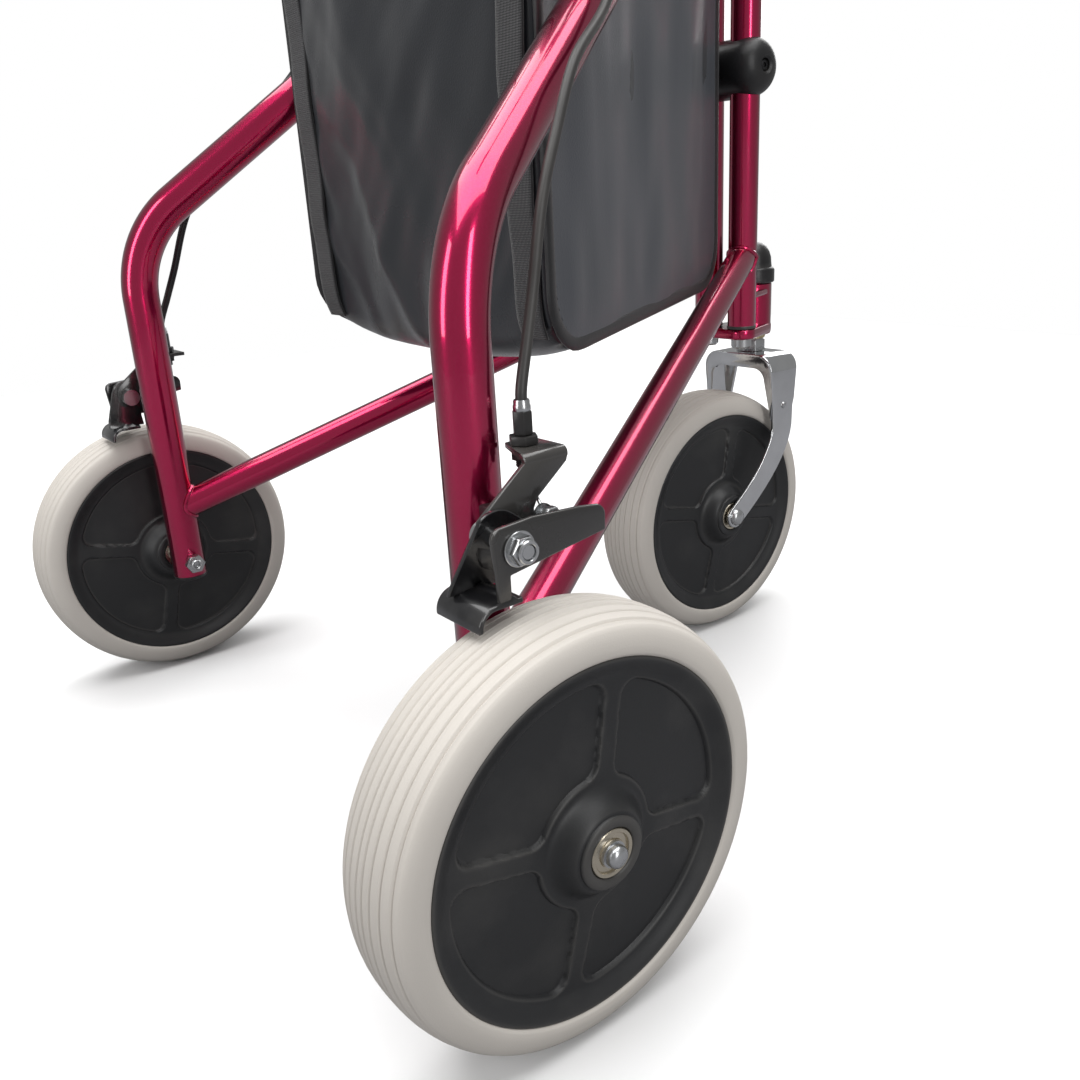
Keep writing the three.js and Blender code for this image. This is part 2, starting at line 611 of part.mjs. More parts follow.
// Stamped fork: an upside-down U seen from the front, cut to the swept outline of its arms.
function fork() {
  const band = new THREE.Shape();
  band.moveTo(-FORK_OUTER, 80);
  band.lineTo(-FORK_OUTER, CROWN_TOP_Z - 10);
  band.absarc(-FORK_OUTER + 10, CROWN_TOP_Z - 10, 10, Math.PI, Math.PI / 2, true);
  band.absarc(FORK_OUTER - 10, CROWN_TOP_Z - 10, 10, Math.PI / 2, 0, true);
  band.lineTo(FORK_OUTER, 80);
  band.lineTo(FORK_INNER, 80);
  band.absarc(FORK_INNER - 7, CROWN_TOP_Z - 11, 7, 0, Math.PI / 2, false);
  band.absarc(-FORK_INNER + 7, CROWN_TOP_Z - 11, 7, Math.PI / 2, Math.PI, false);
  band.lineTo(-FORK_INNER, 80);
  const options = { depth: 120, bevelEnabled: false, curveSegments: 4 };
  const sheet = new THREE.ExtrudeGeometry(band, options).rotateX(Math.PI / 2).translate(0, 90, 0);
  const side = new THREE.Shape();
  side.moveTo(-16, CROWN_TOP_Z + 5);
  side.lineTo(-12.5, 165);
  side.quadraticCurveTo(-10, 135, TRAIL - 4, AXLE_Z - 7.5);
  side.absarc(TRAIL, AXLE_Z, 8.5, -2.06, 1.1, false);
  side.quadraticCurveTo(18, 138, 12.5, 165);
  side.lineTo(16, CROWN_TOP_Z + 5);
  const outline = standingPlate(side, -50, 50);
  const shaped = geometryOf(solidOf(sheet).intersect(solidOf(outline)));
  const axleHole = rod(axis(-60, TRAIL, AXLE_Z), axis(60, TRAIL, AXLE_Z), AXLE_RADIUS + 0.4, 12);
  const stemHole = rod(axis(0, 0, 210), axis(0, 0, 240), 6.4, 12);
  return cut(shaped, axleHole, stemHole);
}

function frontAxle() {
  const half = [[AXLE_RADIUS, FORK_OUTER + GAP], [6.5, FORK_OUTER + GAP], [5, FORK_OUTER + 3.5], [0, FORK_OUTER + 4.5]];
  const left = half.map(([radius, along]) => [radius, -along]).reverse();
  return turnedX([...left, ...half], 12);
}

function caster() {
  const group = new THREE.Group();
  group.add(piece('fork', fork(), FINISH.chrome));
  const crownUnder = CROWN_TOP_Z - 4;
  const stem = [[0, 217.5], [9, 217.5], [9, crownUnder - GAP], [6, crownUnder - GAP], [6, 288], [0, 290]];
  group.add(piece('fork_stem', turnedZ(stem), FINISH.zinc));
  const nut = [[6.4, CROWN_TOP_Z + GAP], [10.5, CROWN_TOP_Z + GAP], [10.5, 236.5], [9.5, 236.5], [9.5, 239.6],
    [6.4, 239.6], [6.4, CROWN_TOP_Z + GAP]];
  group.add(piece('stem_nut', turnedZ(nut), FINISH.zinc));
  const axle = piece('front_axle', frontAxle(), FINISH.zinc);
  axle.position.set(0, TRAIL, AXLE_Z);
  group.add(axle);
  group.add(wheel('front', '', 0, TRAIL));
  return group;
}

function head() {
  const group = new THREE.Group();
  group.add(piece('head_tube', turnedZ(ring(12.7, 16, HEAD_BOTTOM_Z, HEAD_TOP_Z), 24), FINISH.paint));
  const bush = ring(6.5, 12.3, HEAD_BOTTOM_Z + 2, HEAD_TOP_Z - 2);
  group.add(piece('stem_bushing', turnedZ(bush), FINISH.plastic));
  group.add(piece('head_lug_lower', lug(HEAD_BOTTOM_Z + 1, HEAD_BOTTOM_Z + 8, 6), FINISH.paint));
  group.add(piece('head_lug_upper', lug(272, 277, HINGE_TUBE.outer + 0.8), FINISH.paint));
  const cap = [[12, HEAD_TOP_Z + GAP], [18, HEAD_TOP_Z + GAP], [18, 292], [15.5, 293], [14.5, 303], [9, 311],
    [0, 313], [0, 306], [9, 304], [12, 298], [12, HEAD_TOP_Z + GAP]];
  group.add(piece('head_cap', turnedZ(cap), FINISH.plastic));
  group.add(piece('hinge_pin_right', hingePin(RIGHT), FINISH.zinc));
  group.add(piece('hinge_pin_left', hingePin(LEFT), FINISH.zinc));
  group.add(piece('hinge_clamp_lower', hingeClamp(CLAMP_LOWER_Z), FINISH.plastic));
  group.add(piece('hinge_clamp_upper', hingeClamp(CLAMP_UPPER_Z), FINISH.plastic));
  return group;
}

// Tapered zipped pouch with rounded upright edges.
function bag() {
  const shape = new THREE.Shape();
  shape.moveTo(-BAG_FRONT_HALF, BAG_FRONT_Y);
  shape.lineTo(BAG_FRONT_HALF, BAG_FRONT_Y);
  shape.lineTo(BAG_REAR_HALF, BAG_REAR_Y - 14);
  shape.quadraticCurveTo(BAG_REAR_HALF, BAG_REAR_Y, BAG_REAR_HALF - 16, BAG_REAR_Y);
  shape.lineTo(-BAG_REAR_HALF + 16, BAG_REAR_Y);
  shape.quadraticCurveTo(-BAG_REAR_HALF, BAG_REAR_Y, -BAG_REAR_HALF, BAG_REAR_Y - 14);
  return piece('bag', lyingPlate(shape, BAG_BOTTOM_Z, BAG_TOP_Z), FINISH.vinyl);
}

const rollator = new THREE.Group();
rollator.add(head());
rollator.add(caster());
rollator.add(sideFrame(RIGHT));
rollator.add(sideFrame(LEFT));
rollator.add(foldingBrace());
rollator.add(bag());
rollator.position.y = -CENTRE_Y;

export default rollator;
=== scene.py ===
"""Folding three-wheeled rollator walker: its looks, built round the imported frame.

Lengths in this file are millimetres unless a name says otherwise; finished meshes are in metres.
"""
import json
import logging
import math
from dataclasses import dataclass, field
from enum import Enum

import bmesh
import bpy
from bmesh.types import BMEdge, BMesh, BMVert
from bpy.types import Node, NodeSocket, NodeTree, Object
from mathutils import Matrix, Vector, noise
from mathutils.bvhtree import BVHTree

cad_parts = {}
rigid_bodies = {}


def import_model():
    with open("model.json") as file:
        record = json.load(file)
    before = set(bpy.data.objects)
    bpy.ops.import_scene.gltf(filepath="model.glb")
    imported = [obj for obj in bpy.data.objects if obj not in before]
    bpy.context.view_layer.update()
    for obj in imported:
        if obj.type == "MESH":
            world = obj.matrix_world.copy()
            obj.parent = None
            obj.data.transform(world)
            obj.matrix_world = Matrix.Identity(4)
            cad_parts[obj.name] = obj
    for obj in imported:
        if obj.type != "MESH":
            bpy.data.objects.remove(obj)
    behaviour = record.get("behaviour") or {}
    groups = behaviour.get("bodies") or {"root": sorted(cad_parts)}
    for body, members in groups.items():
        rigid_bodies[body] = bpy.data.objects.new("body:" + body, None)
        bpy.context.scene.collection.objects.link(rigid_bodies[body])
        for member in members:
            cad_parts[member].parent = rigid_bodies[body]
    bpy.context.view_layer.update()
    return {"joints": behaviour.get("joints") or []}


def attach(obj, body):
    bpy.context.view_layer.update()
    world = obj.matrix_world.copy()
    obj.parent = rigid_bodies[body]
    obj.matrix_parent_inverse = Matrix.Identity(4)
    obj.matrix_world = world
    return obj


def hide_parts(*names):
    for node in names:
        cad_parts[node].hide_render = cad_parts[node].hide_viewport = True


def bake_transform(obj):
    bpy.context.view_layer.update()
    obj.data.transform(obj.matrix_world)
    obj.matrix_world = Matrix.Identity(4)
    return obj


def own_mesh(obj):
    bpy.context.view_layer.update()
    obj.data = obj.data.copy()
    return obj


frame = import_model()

LOG = logging.getLogger("rollator")
MM = 0.001
Station = tuple[Vector, Vector]
Outline = list[tuple[float, float]]


def move_to(x: float, y: float, z: float) -> Matrix:
    """The matrix that moves a piece by three lengths."""
    return Matrix.Translation((x, y, z))


class Side(Enum):
    """Which side of the walker a piece is on; the value is the sign of its x."""

    RIGHT = -1
    LEFT = 1

    @property
    def word(self) -> str:
        """The side's name as the frame's nodes and bodies spell it."""
        return self.name.lower()

    @property
    def mirror(self) -> Matrix:
        """Turns outward lengths into the row frame's x."""
        return Matrix.Diagonal((self.value, 1, 1, 1))


# --- Where things are ---


def joint_place(name: str) -> Vector:
    """The point that a joint turns about.

    Args:
        name: the joint's name in the frame.

    Returns:
        The point in millimetres.
    """
    found = next(joint for joint in frame["joints"] if joint["name"] == name)
    return Vector(found["pos_m"]) / MM


@dataclass(frozen=True)
class Layout:
    """The plan of the walker, read from the frame's joints."""

    hinge: Vector = field(default_factory=lambda: joint_place("fold_left"))
    wheel: Vector = field(default_factory=lambda: joint_place("rear_wheel_spin_left"))
    stem: Vector = field(default_factory=lambda: joint_place("caster_swivel"))
    front_wheel: Vector = field(default_factory=lambda: joint_place("front_wheel_spin"))
    leg_x: float = 208.5

    @property
    def splay(self) -> float:
        """The angle between a side frame and the direction of travel."""
        return math.atan2(self.leg_x - self.hinge.x, self.wheel.y - self.hinge.y)

    @property
    def reach(self) -> float:
        """The distance from the hinge axis to the leg's axis."""
        return math.hypot(self.leg_x - self.hinge.x, self.wheel.y - self.hinge.y)

    def side_frame(self, side: Side) -> Matrix:
        """Places (outwards, along the frame, height) of one side frame.

        Args:
            side: the side of the walker.

        Returns:
            The matrix from those coordinates to the row frame.
        """
        turned = Matrix.Rotation(-self.splay, 4, "Z")
        mirrored = side.mirror
        return mirrored @ move_to(self.hinge.x, self.hinge.y, 0) @ turned

    def corner(self, side: Side) -> Matrix:
        """Places (outwards from the leg, rearwards, height) of one rear corner."""
        return side.mirror @ move_to(self.leg_x, self.wheel.y, 0)

    def rear_wheel(self, side: Side) -> Matrix:
        """Places a wheel's own coordinates, x along the axle outwards, on a rear axle."""
        return side.mirror @ Matrix.Translation(self.wheel)

    def caster_wheel(self) -> Matrix:
        """Places a wheel's own coordinates on the caster's axle."""
        return Matrix.Translation(self.front_wheel)

    def middle(self) -> Matrix:
        """Places coordinates measured from the fork stem's axis."""
        return move_to(0, self.stem.y, 0)


LAYOUT = Layout()


# --- Shader groups and finishes ---


class Sheet:
    """A node tree being wired, with short calls for the steps that repeat."""

    def __init__(self, tree: NodeTree) -> None:
        """Takes the tree to be wired."""
        self.tree = tree

    def node(self, kind: str, inputs: dict | None = None, **settings: object) -> Node:
        """Adds a node.

        Args:
            kind: the node's type name.
            inputs: socket values, or sockets to link from, by name or number.
            settings: properties of the node.

        Returns:
            The new node.
        """
        made = self.tree.nodes.new(kind)
        for name, value in settings.items():
            setattr(made, name, value)
        for socket, value in (inputs or {}).items():
            if isinstance(value, NodeSocket):
                self.tree.links.new(value, made.inputs[socket])
            else:
                made.inputs[socket].default_value = value
        return made

    def link(self, source: NodeSocket, node: Node, socket: str) -> None:
        """Links a value into a node's named socket."""
        self.tree.links.new(source, node.inputs[socket])

    def math(self, operation: str, first: object, second: object = 0.5, clamp: bool = False) -> NodeSocket:
        """Adds a Math node and returns its value."""
        return self.node("ShaderNodeMath", {0: first, 1: second}, operation=operation,
                         use_clamp=clamp).outputs[0]

    def mix(self, factor: object, first: object, second: object) -> NodeSocket:
        """Adds a colour Mix node and returns its colour."""
        made = self.node("ShaderNodeMix", {0: factor, 6: first, 7: second}, data_type="RGBA")
        return made.outputs[2]

    def remap(self, value: object, low: float, high: float, to_low: float, to_high: float) -> NodeSocket:
        """Adds a Map Range node and returns its value."""
        inputs = {"Value": value, "From Min": low, "From Max": high, "To Min": to_low, "To Max": to_high}
        return self.node("ShaderNodeMapRange", inputs).outputs["Result"]

    def noise(self, vector: object, scale: object, detail: float = 3.0) -> NodeSocket:
        """Adds a Noise Texture and returns its value."""
        inputs = {"Vector": vector, "Scale": scale, "Detail": detail}
        return self.node("ShaderNodeTexNoise", inputs).outputs[0]

    def cells(self, vector: object, scale: object, feature: str = "F1") -> Node:
        """Adds a Voronoi Texture and returns the node."""
        return self.node("ShaderNodeTexVoronoi", {"Vector": vector, "Scale": scale}, feature=feature)


def group_tree(name: str, inputs: dict[str, float], outputs: tuple[str, ...]) -> tuple[Sheet, dict, Node]:
    """Starts a shader group that takes a vector and some numbers.

    Args:
        name: the group's name.
        inputs: the numbers it takes and their starting values.
        outputs: the values it gives.

    Returns:
        The sheet to wire, the input sockets by name, and the output node.
    """
    tree = bpy.data.node_groups.new(name, "ShaderNodeTree")
    tree.interface.new_socket("Vector", in_out="INPUT", socket_type="NodeSocketVector")
    for title, value in inputs.items():
        socket = tree.interface.new_socket(title, in_out="INPUT", socket_type="NodeSocketFloat")
        socket.default_value = value
    for title in outputs:
        tree.interface.new_socket(title, in_out="OUTPUT", socket_type="NodeSocketFloat")
    sheet = Sheet(tree)
    entry = sheet.node("NodeGroupInput")
    return sheet, {socket.name: socket for socket in entry.outputs}, sheet.node("NodeGroupOutput")


def grain_group() -> NodeTree:
    """Fine moulded grain: a height, and a slow mottle for colour and gloss."""
    sheet, given, result = group_tree("moulded_grain", {"Scale": 900.0, "Mottle Scale": 14.0},
                                      ("Height", "Mottle"))
    fine = sheet.noise(given["Vector"], given["Scale"], 2.0)
    pits = sheet.cells(given["Vector"], given["Scale"]).outputs["Distance"]
    sheet.link(sheet.math("ADD", fine, pits), result, "Height")
    sheet.link(sheet.noise(given["Vector"], given["Mottle Scale"], 5.0), result, "Mottle")
    return sheet.tree


def wear_group() -> NodeTree:
    """Rubbed edges and faint dust: masks from the surface's own sharpness, broken up by noise."""
    sheet, given, result = group_tree("edge_rub", {"Amount": 0.5, "Dust": 0.3}, ("Edge", "Dust"))
    sharp = sheet.node("ShaderNodeNewGeometry").outputs["Pointiness"]
    edge = sheet.remap(sharp, 0.52, 0.62, 0.0, 1.0)
    broken = sheet.remap(sheet.noise(given["Vector"], 90.0, 6.0), 0.45, 0.65, 0.0, 1.0)
    rubbed = sheet.math("MULTIPLY", sheet.math("MULTIPLY", edge, broken), given["Amount"], True)
    hollow = sheet.remap(sharp, 0.50, 0.44, 0.0, 1.0)
    patches = sheet.remap(sheet.noise(given["Vector"], 22.0, 8.0), 0.5, 0.8, 0.0, 0.5)
    settled = sheet.math("MULTIPLY", sheet.math("ADD", hollow, patches), given["Dust"], True)
    sheet.link(rubbed, result, "Edge")
    sheet.link(settled, result, "Dust")
    return sheet.tree


def flake_group() -> NodeTree:
    """Metal flakes under lacquer: a sparkle mask and a very fine orange-peel height."""
    sheet, given, result = group_tree("paint_flake", {"Scale": 2600.0}, ("Sparkle", "Peel"))
    flake = sheet.cells(given["Vector"], given["Scale"]).outputs["Color"]
    level = sheet.node("ShaderNodeSeparateColor", {"Color": flake}).outputs["Red"]
    sheet.link(sheet.remap(level, 0.45, 1.0, 0.0, 1.0), result, "Sparkle")
    sheet.link(sheet.noise(given["Vector"], 160.0, 2.0), result, "Peel")
    return sheet.tree


def weave_group() -> NodeTree:
    """Plain weave on a UV map in millimetres: a thread height and a painted shade for the thread gaps."""
    sheet, given, result = group_tree("webbing_weave", {"Thread": 1.1}, ("Height", "Shade"))
    parts = sheet.node("ShaderNodeSeparateXYZ", {"Vector": given["Vector"]})
    pitch = sheet.math("DIVIDE", math.pi, given["Thread"])
    across = sheet.math("SINE", sheet.math("MULTIPLY", parts.outputs["X"], pitch))
    along = sheet.math("SINE", sheet.math("MULTIPLY", parts.outputs["Y"], pitch))
    crossing = sheet.math("ABSOLUTE", sheet.math("MULTIPLY", across, along))
    sheet.link(crossing, result, "Height")
    sheet.link(sheet.remap(crossing, 0.0, 0.6, 0.0, 1.0), result, "Shade")
    return sheet.tree


class Groups:
    """The shader groups, each made when it is first asked for."""

    makers = {"grain": grain_group, "wear": wear_group, "flake": flake_group, "weave": weave_group}
    made: dict[str, NodeTree] = {}

    @classmethod
    def place(cls, sheet: Sheet, name: str, vector: NodeSocket, **numbers: float) -> Node:
        """Puts a group into a material.

        Args:
            sheet: the material's sheet.
            name: which group.
            vector: the coordinates it reads.
            numbers: its values, with underscores for spaces.

        Returns:
            The group's node.
        """
        if name not in cls.made:
            cls.made[name] = cls.makers[name]()
        placed = sheet.node("ShaderNodeGroup", node_tree=cls.made[name])
        sheet.link(vector, placed, "Vector")
        for title, value in numbers.items():
            placed.inputs[title.replace("_", " ")].default_value = value
        return placed


Colour = tuple[float, float, float, float]


def colour(red: float, green: float, blue: float) -> Colour:
    """An opaque linear colour."""
    return (red, green, blue, 1.0)


@dataclass(frozen=True)
class Finish:
    """A surface finish; a subclass wires what is particular to it."""

    name: str
    slot: str
    base: Colour
    roughness: float = 0.4
    metallic: float = 0.0

    def material(self) -> bpy.types.Material:
        """Makes the material, or finds it if it is made already.

        Returns:
            The material.
        """
        found = bpy.data.materials.get(self.name)
        if found:
            return found
        made = bpy.data.materials.new(self.name)
        made.use_nodes = True
        made.node_tree.nodes.clear()
        sheet = Sheet(made.node_tree)
        shader = sheet.node("ShaderNodeBsdfPrincipled", {"Metallic": self.metallic})
        output = sheet.node("ShaderNodeOutputMaterial")
        sheet.link(shader.outputs[0], output, "Surface")
        coordinates = sheet.node("ShaderNodeTexCoord")
        self.wire(sheet, shader, coordinates)
        return made

    def wire(self, sheet: Sheet, shader: Node, coordinates: Node) -> None:
        """Wires the finish into the shader."""
        raise NotImplementedError

    def bump(self, sheet: Sheet, shader: Node, height: object, depth: float, strength: float) -> None:
        """Feeds a height to the shader's normal.

        Args:
            sheet: the material's sheet.
            shader: the Principled node.
            height: the height socket.
            depth: the bump's distance in metres.
            strength: the bump's strength.
        """
        inputs = {"Height": height, "Distance": depth, "Strength": strength}
        bumped = sheet.node("ShaderNodeBump", inputs)
        sheet.link(bumped.outputs["Normal"], shader, "Normal")


@dataclass(frozen=True)
class CandyPaint(Finish):
    """Tinted lacquer over a metallic base, darker where it is seen edge on."""

    edge: Colour = colour(0.055, 0.001, 0.010)
    flake: Colour = colour(0.85, 0.05, 0.20)

    def wire(self, sheet: Sheet, shader: Node, coordinates: Node) -> None:
        """Wires flake, lacquer depth, orange peel and light wear."""
        place = coordinates.outputs["Object"]
        flakes = Groups.place(sheet, "flake", place)
        wear = Groups.place(sheet, "wear", place, Amount=0.3, Dust=0.10)
        facing = sheet.node("ShaderNodeLayerWeight", {"Blend": 0.42}).outputs["Facing"]
        body = sheet.mix(facing, self.base, self.edge)
        speckled = sheet.mix(sheet.math("MULTIPLY", flakes.outputs["Sparkle"], 0.16), body, self.flake)
        dust = sheet.math("MULTIPLY", wear.outputs["Dust"], 0.25)
        dusted = sheet.mix(dust, speckled, colour(0.3, 0.2, 0.2))
        sheet.link(dusted, shader, "Base Color")
        rough = sheet.remap(wear.outputs["Dust"], 0.0, 0.3, self.roughness, self.roughness + 0.15)
        sheet.link(rough, shader, "Roughness")
        shader.inputs["Coat Weight"].default_value = 1.0
        shader.inputs["Coat Roughness"].default_value = 0.03
        self.bump(sheet, shader, flakes.outputs["Peel"], 0.00012, 0.25)


@dataclass(frozen=True)
class BareMetal(Finish):
    """Plated or passivated metal with clouded gloss and rubbed edges."""

    worn: Colour = colour(0.75, 0.74, 0.72)
    cloud: float = 0.1
    amount: float = 0.6

    def wire(self, sheet: Sheet, shader: Node, coordinates: Node) -> None:
        """Wires clouding, fine draw marks and rubbed edges."""
        place = coordinates.outputs["Object"]
        grain = Groups.place(sheet, "grain", place, Scale=700.0, Mottle_Scale=45.0)
        wear = Groups.place(sheet, "wear", place, Amount=self.amount, Dust=0.2)
        tinted = sheet.mix(wear.outputs["Edge"], self.base, self.worn)
        dark = tuple(0.72 * part for part in self.base[:3]) + (1.0,)
        mottle = sheet.remap(grain.outputs["Mottle"], 0.35, 0.75, 0.0, 0.45)
        sheet.link(sheet.mix(mottle, tinted, dark), shader, "Base Color")
        rough = sheet.remap(grain.outputs["Mottle"], 0.3, 0.75, self.roughness, self.roughness + self.cloud)
        sheet.link(rough, shader, "Roughness")
        self.bump(sheet, shader, grain.outputs["Height"], 0.00004, 0.25)


@dataclass(frozen=True)
class Moulded(Finish):
    """Moulded plastic, rubber or enamel: grain, mottle, scuffed edges and dust."""

    grain_scale: float = 900.0
    grain_depth: float = 0.00008
    grain_strength: float = 0.5
    scuff: Colour = colour(0.12, 0.12, 0.12)
    dust: float = 0.3
    dust_colour: Colour = colour(0.35, 0.33, 0.3)
    coat: float = 0.0
    mottle: float = 0.25

    def wire(self, sheet: Sheet, shader: Node, coordinates: Node) -> None:
        """Wires grain, mottle, scuffs and dust."""
        place = coordinates.outputs["Object"]
        grain = Groups.place(sheet, "grain", place, Scale=self.grain_scale, Mottle_Scale=16.0)
        wear = Groups.place(sheet, "wear", place, Amount=0.45, Dust=self.dust)
        lighter = tuple(min(1.0, part * 1.35 + 0.004) for part in self.base[:3]) + (1.0,)
        cloudy = sheet.remap(grain.outputs["Mottle"], 0.3, 0.7, 0.0, self.mottle)
        body = sheet.mix(cloudy, self.base, lighter)
        scuffed = sheet.mix(wear.outputs["Edge"], body, self.scuff)
        dusty = sheet.mix(sheet.math("MULTIPLY", wear.outputs["Dust"], 0.5), scuffed, self.dust_colour)
        sheet.link(dusty, shader, "Base Color")
        rough = sheet.remap(grain.outputs["Mottle"], 0.3, 0.7, self.roughness - 0.04, self.roughness + 0.08)
        sheet.link(rough, shader, "Roughness")
        shader.inputs["Coat Weight"].default_value = self.coat
        shader.inputs["Coat Roughness"].default_value = 0.1
        self.bump(sheet, shader, grain.outputs["Height"], self.grain_depth, self.grain_strength)


@dataclass(frozen=True)
class CoatedVinyl(Finish):
    """Coated cloth: leathery cells, the cloth's weave just showing through, soft sheen."""

    def wire(self, sheet: Sheet, shader: Node, coordinates: Node) -> None:
        """Wires cell grain, backing weave, rubbed folds and slow colour change."""
        place = coordinates.outputs["Object"]
        cells = sheet.cells(place, 620.0, "DISTANCE_TO_EDGE").outputs["Distance"]
        pebble = sheet.remap(cells, 0.0, 0.35, 0.0, 1.0)
        grain = Groups.place(sheet, "grain", place, Scale=1500.0, Mottle_Scale=9.0)
        wear = Groups.place(sheet, "wear", place, Amount=0.35, Dust=0.2)
        lighter = tuple(part * 1.6 for part in self.base[:3]) + (1.0,)
        slow = sheet.mix(sheet.remap(grain.outputs["Mottle"], 0.3, 0.75, 0.0, 0.5), self.base, lighter)
        rubbed = sheet.mix(wear.outputs["Edge"], slow, colour(0.10, 0.10, 0.105))
        sheet.link(rubbed, shader, "Base Color")
        rough = sheet.remap(grain.outputs["Mottle"], 0.3, 0.7, self.roughness - 0.05, self.roughness + 0.07)
        sheet.link(rough, shader, "Roughness")
        shader.inputs["Sheen Weight"].default_value = 0.15
        height = sheet.math("ADD", pebble, sheet.math("MULTIPLY", grain.outputs["Height"], 0.4))
        self.bump(sheet, shader, height, 0.00010, 0.45)


@dataclass(frozen=True)
class Woven(Finish):
    """Woven webbing or tape that follows the piece's UV map, which is in millimetres."""

    thread: float = 1.2

    def wire(self, sheet: Sheet, shader: Node, coordinates: Node) -> None:
        """Wires the weave's height and the painted shade in the gaps between threads."""
        weave = Groups.place(sheet, "weave", coordinates.outputs["UV"], Thread=self.thread)
        grain = Groups.place(sheet, "grain", coordinates.outputs["Object"], Scale=2400.0, Mottle_Scale=30.0)
        # Painted shade: the thread gaps take a quarter of the base colour.
        gap = tuple(part * 0.25 for part in self.base[:3]) + (1.0,)
        threads = sheet.mix(weave.outputs["Shade"], gap, self.base)
        lighter = tuple(part * 1.8 for part in self.base[:3]) + (1.0,)
        faded = sheet.mix(sheet.remap(grain.outputs["Mottle"], 0.35, 0.7, 0.0, 0.4), threads, lighter)
        sheet.link(faded, shader, "Base Color")
        rough = sheet.remap(weave.outputs["Shade"], 0.0, 1.0, 0.9, self.roughness)
        sheet.link(rough, shader, "Roughness")
        shader.inputs["Sheen Weight"].default_value = 0.3
        fibre = sheet.math("MULTIPLY", grain.outputs["Height"], 0.15)
        height = sheet.math("ADD", weave.outputs["Height"], fibre)
        self.bump(sheet, shader, height, 0.0004, 0.8)


PAINT = CandyPaint("ruby_candy_paint", "red_paint", colour(0.60, 0.003, 0.085), 0.2, 0.9)
CHROME = BareMetal("bright_chrome", "fork_chrome", colour(0.68, 0.69, 0.70), 0.05, 1.0, cloud=0.08,
                   amount=0.2)
ZINC = BareMetal("zinc_plate", "zinc_steel", colour(0.56, 0.57, 0.58), 0.2, 1.0, cloud=0.15)
GOLD_ZINC = BareMetal("yellow_zinc", "bearing_steel", colour(0.72, 0.58, 0.33), 0.24, 1.0, cloud=0.12)
BEARING = BareMetal("bearing_race", "bearing_steel", colour(0.62, 0.56, 0.45), 0.2, 1.0, cloud=0.1)
ENAMEL = Moulded("black_enamel", "black_paint", colour(0.005, 0.005, 0.006), 0.24, 0.0, grain_scale=260.0,
                 grain_depth=0.00006, grain_strength=0.2, coat=0.6, dust=0.25)
PLASTIC = Moulded("black_plastic_grain", "black_plastic", colour(0.007, 0.007, 0.008), 0.36)
SHEATH = Moulded("cable_sheath_black", "cable_sheath", colour(0.004, 0.004, 0.005), 0.42, grain_scale=400.0,
                 grain_depth=0.00003)
TYRE = Moulded("tyre_warm_grey", "grey_tyre", colour(0.57, 0.535, 0.49), 0.62, grain_scale=1300.0,
               grain_depth=0.00005, scuff=colour(0.42, 0.39, 0.35), dust=0.5, dust_colour=colour(0.5, 0.46,
                                                                                                 0.41),
               mottle=0.18)
RIM = Moulded("rim_charcoal", "grey_rim", colour(0.013, 0.0135, 0.0145), 0.42, grain_scale=1000.0,
              grain_depth=0.00005, grain_strength=0.35, scuff=colour(0.09, 0.09, 0.095), dust=0.25)
ADJUSTER = Moulded("black_oxide", "black_plastic", colour(0.012, 0.012, 0.014), 0.3, 0.4, grain_scale=500.0,
                   grain_depth=0.00004, scuff=colour(0.3, 0.3, 0.31), dust=0.15)
GRIP = Moulded("grip_rubber_black", "grip_rubber", colour(0.018, 0.018, 0.020), 0.72, grain_scale=700.0,
               grain_depth=0.00012)
# The bag's body and side panels are one vinyl in two tones. The panels' lighter base is painted light on the
# lit sides, and the body's darker base is painted shade on the rear wall.
SHADED_VINYL = CoatedVinyl("bag_coated_vinyl", "bag_vinyl", colour(0.013, 0.015, 0.019), 0.27)
LIT_PANEL_VINYL = CoatedVinyl("bag_panel_vinyl", "bag_vinyl", colour(0.040, 0.045, 0.055), 0.33)
TAPE = Woven("black_webbing", "bag_vinyl", colour(0.014, 0.014, 0.016), 0.6)
BINDING = CoatedVinyl("bag_binding", "bag_vinyl", colour(0.004, 0.004, 0.005), 0.5)


# --- Mesh steps ---


def start_mesh() -> BMesh:
    """An empty bmesh."""
    return bmesh.new()


def bent_path(corners: list[Vector], radius: float, arc_steps: int = 18) -> list[Station]:
    """Stations along straight stretches joined by round bends.

    Args:
        corners: the ends and the corners between the straight stretches.
        radius: the bend radius at each corner.
        arc_steps: steps in each bend.

    Returns:
        Points with their unit tangents.
    """
    stations = [(corners[0], (corners[1] - corners[0]).normalized())]
    for before, corner, after in zip(corners, corners[1:], corners[2:]):
        arriving = (corner - before).normalized()
        leaving = (after - corner).normalized()
        angle = arriving.angle(leaving)
        inward = (leaving - arriving * math.cos(angle)).normalized()
        start = corner - arriving * radius * math.tan(angle / 2)
        for step in range(arc_steps + 1):
            turn = angle * step / arc_steps
            point = start + arriving * radius * math.sin(turn) + inward * radius * (1 - math.cos(turn))
            stations.append((point, arriving * math.cos(turn) + inward * math.sin(turn)))
    stations.append((corners[-1], (corners[-1] - corners[-2]).normalized()))
    return stations


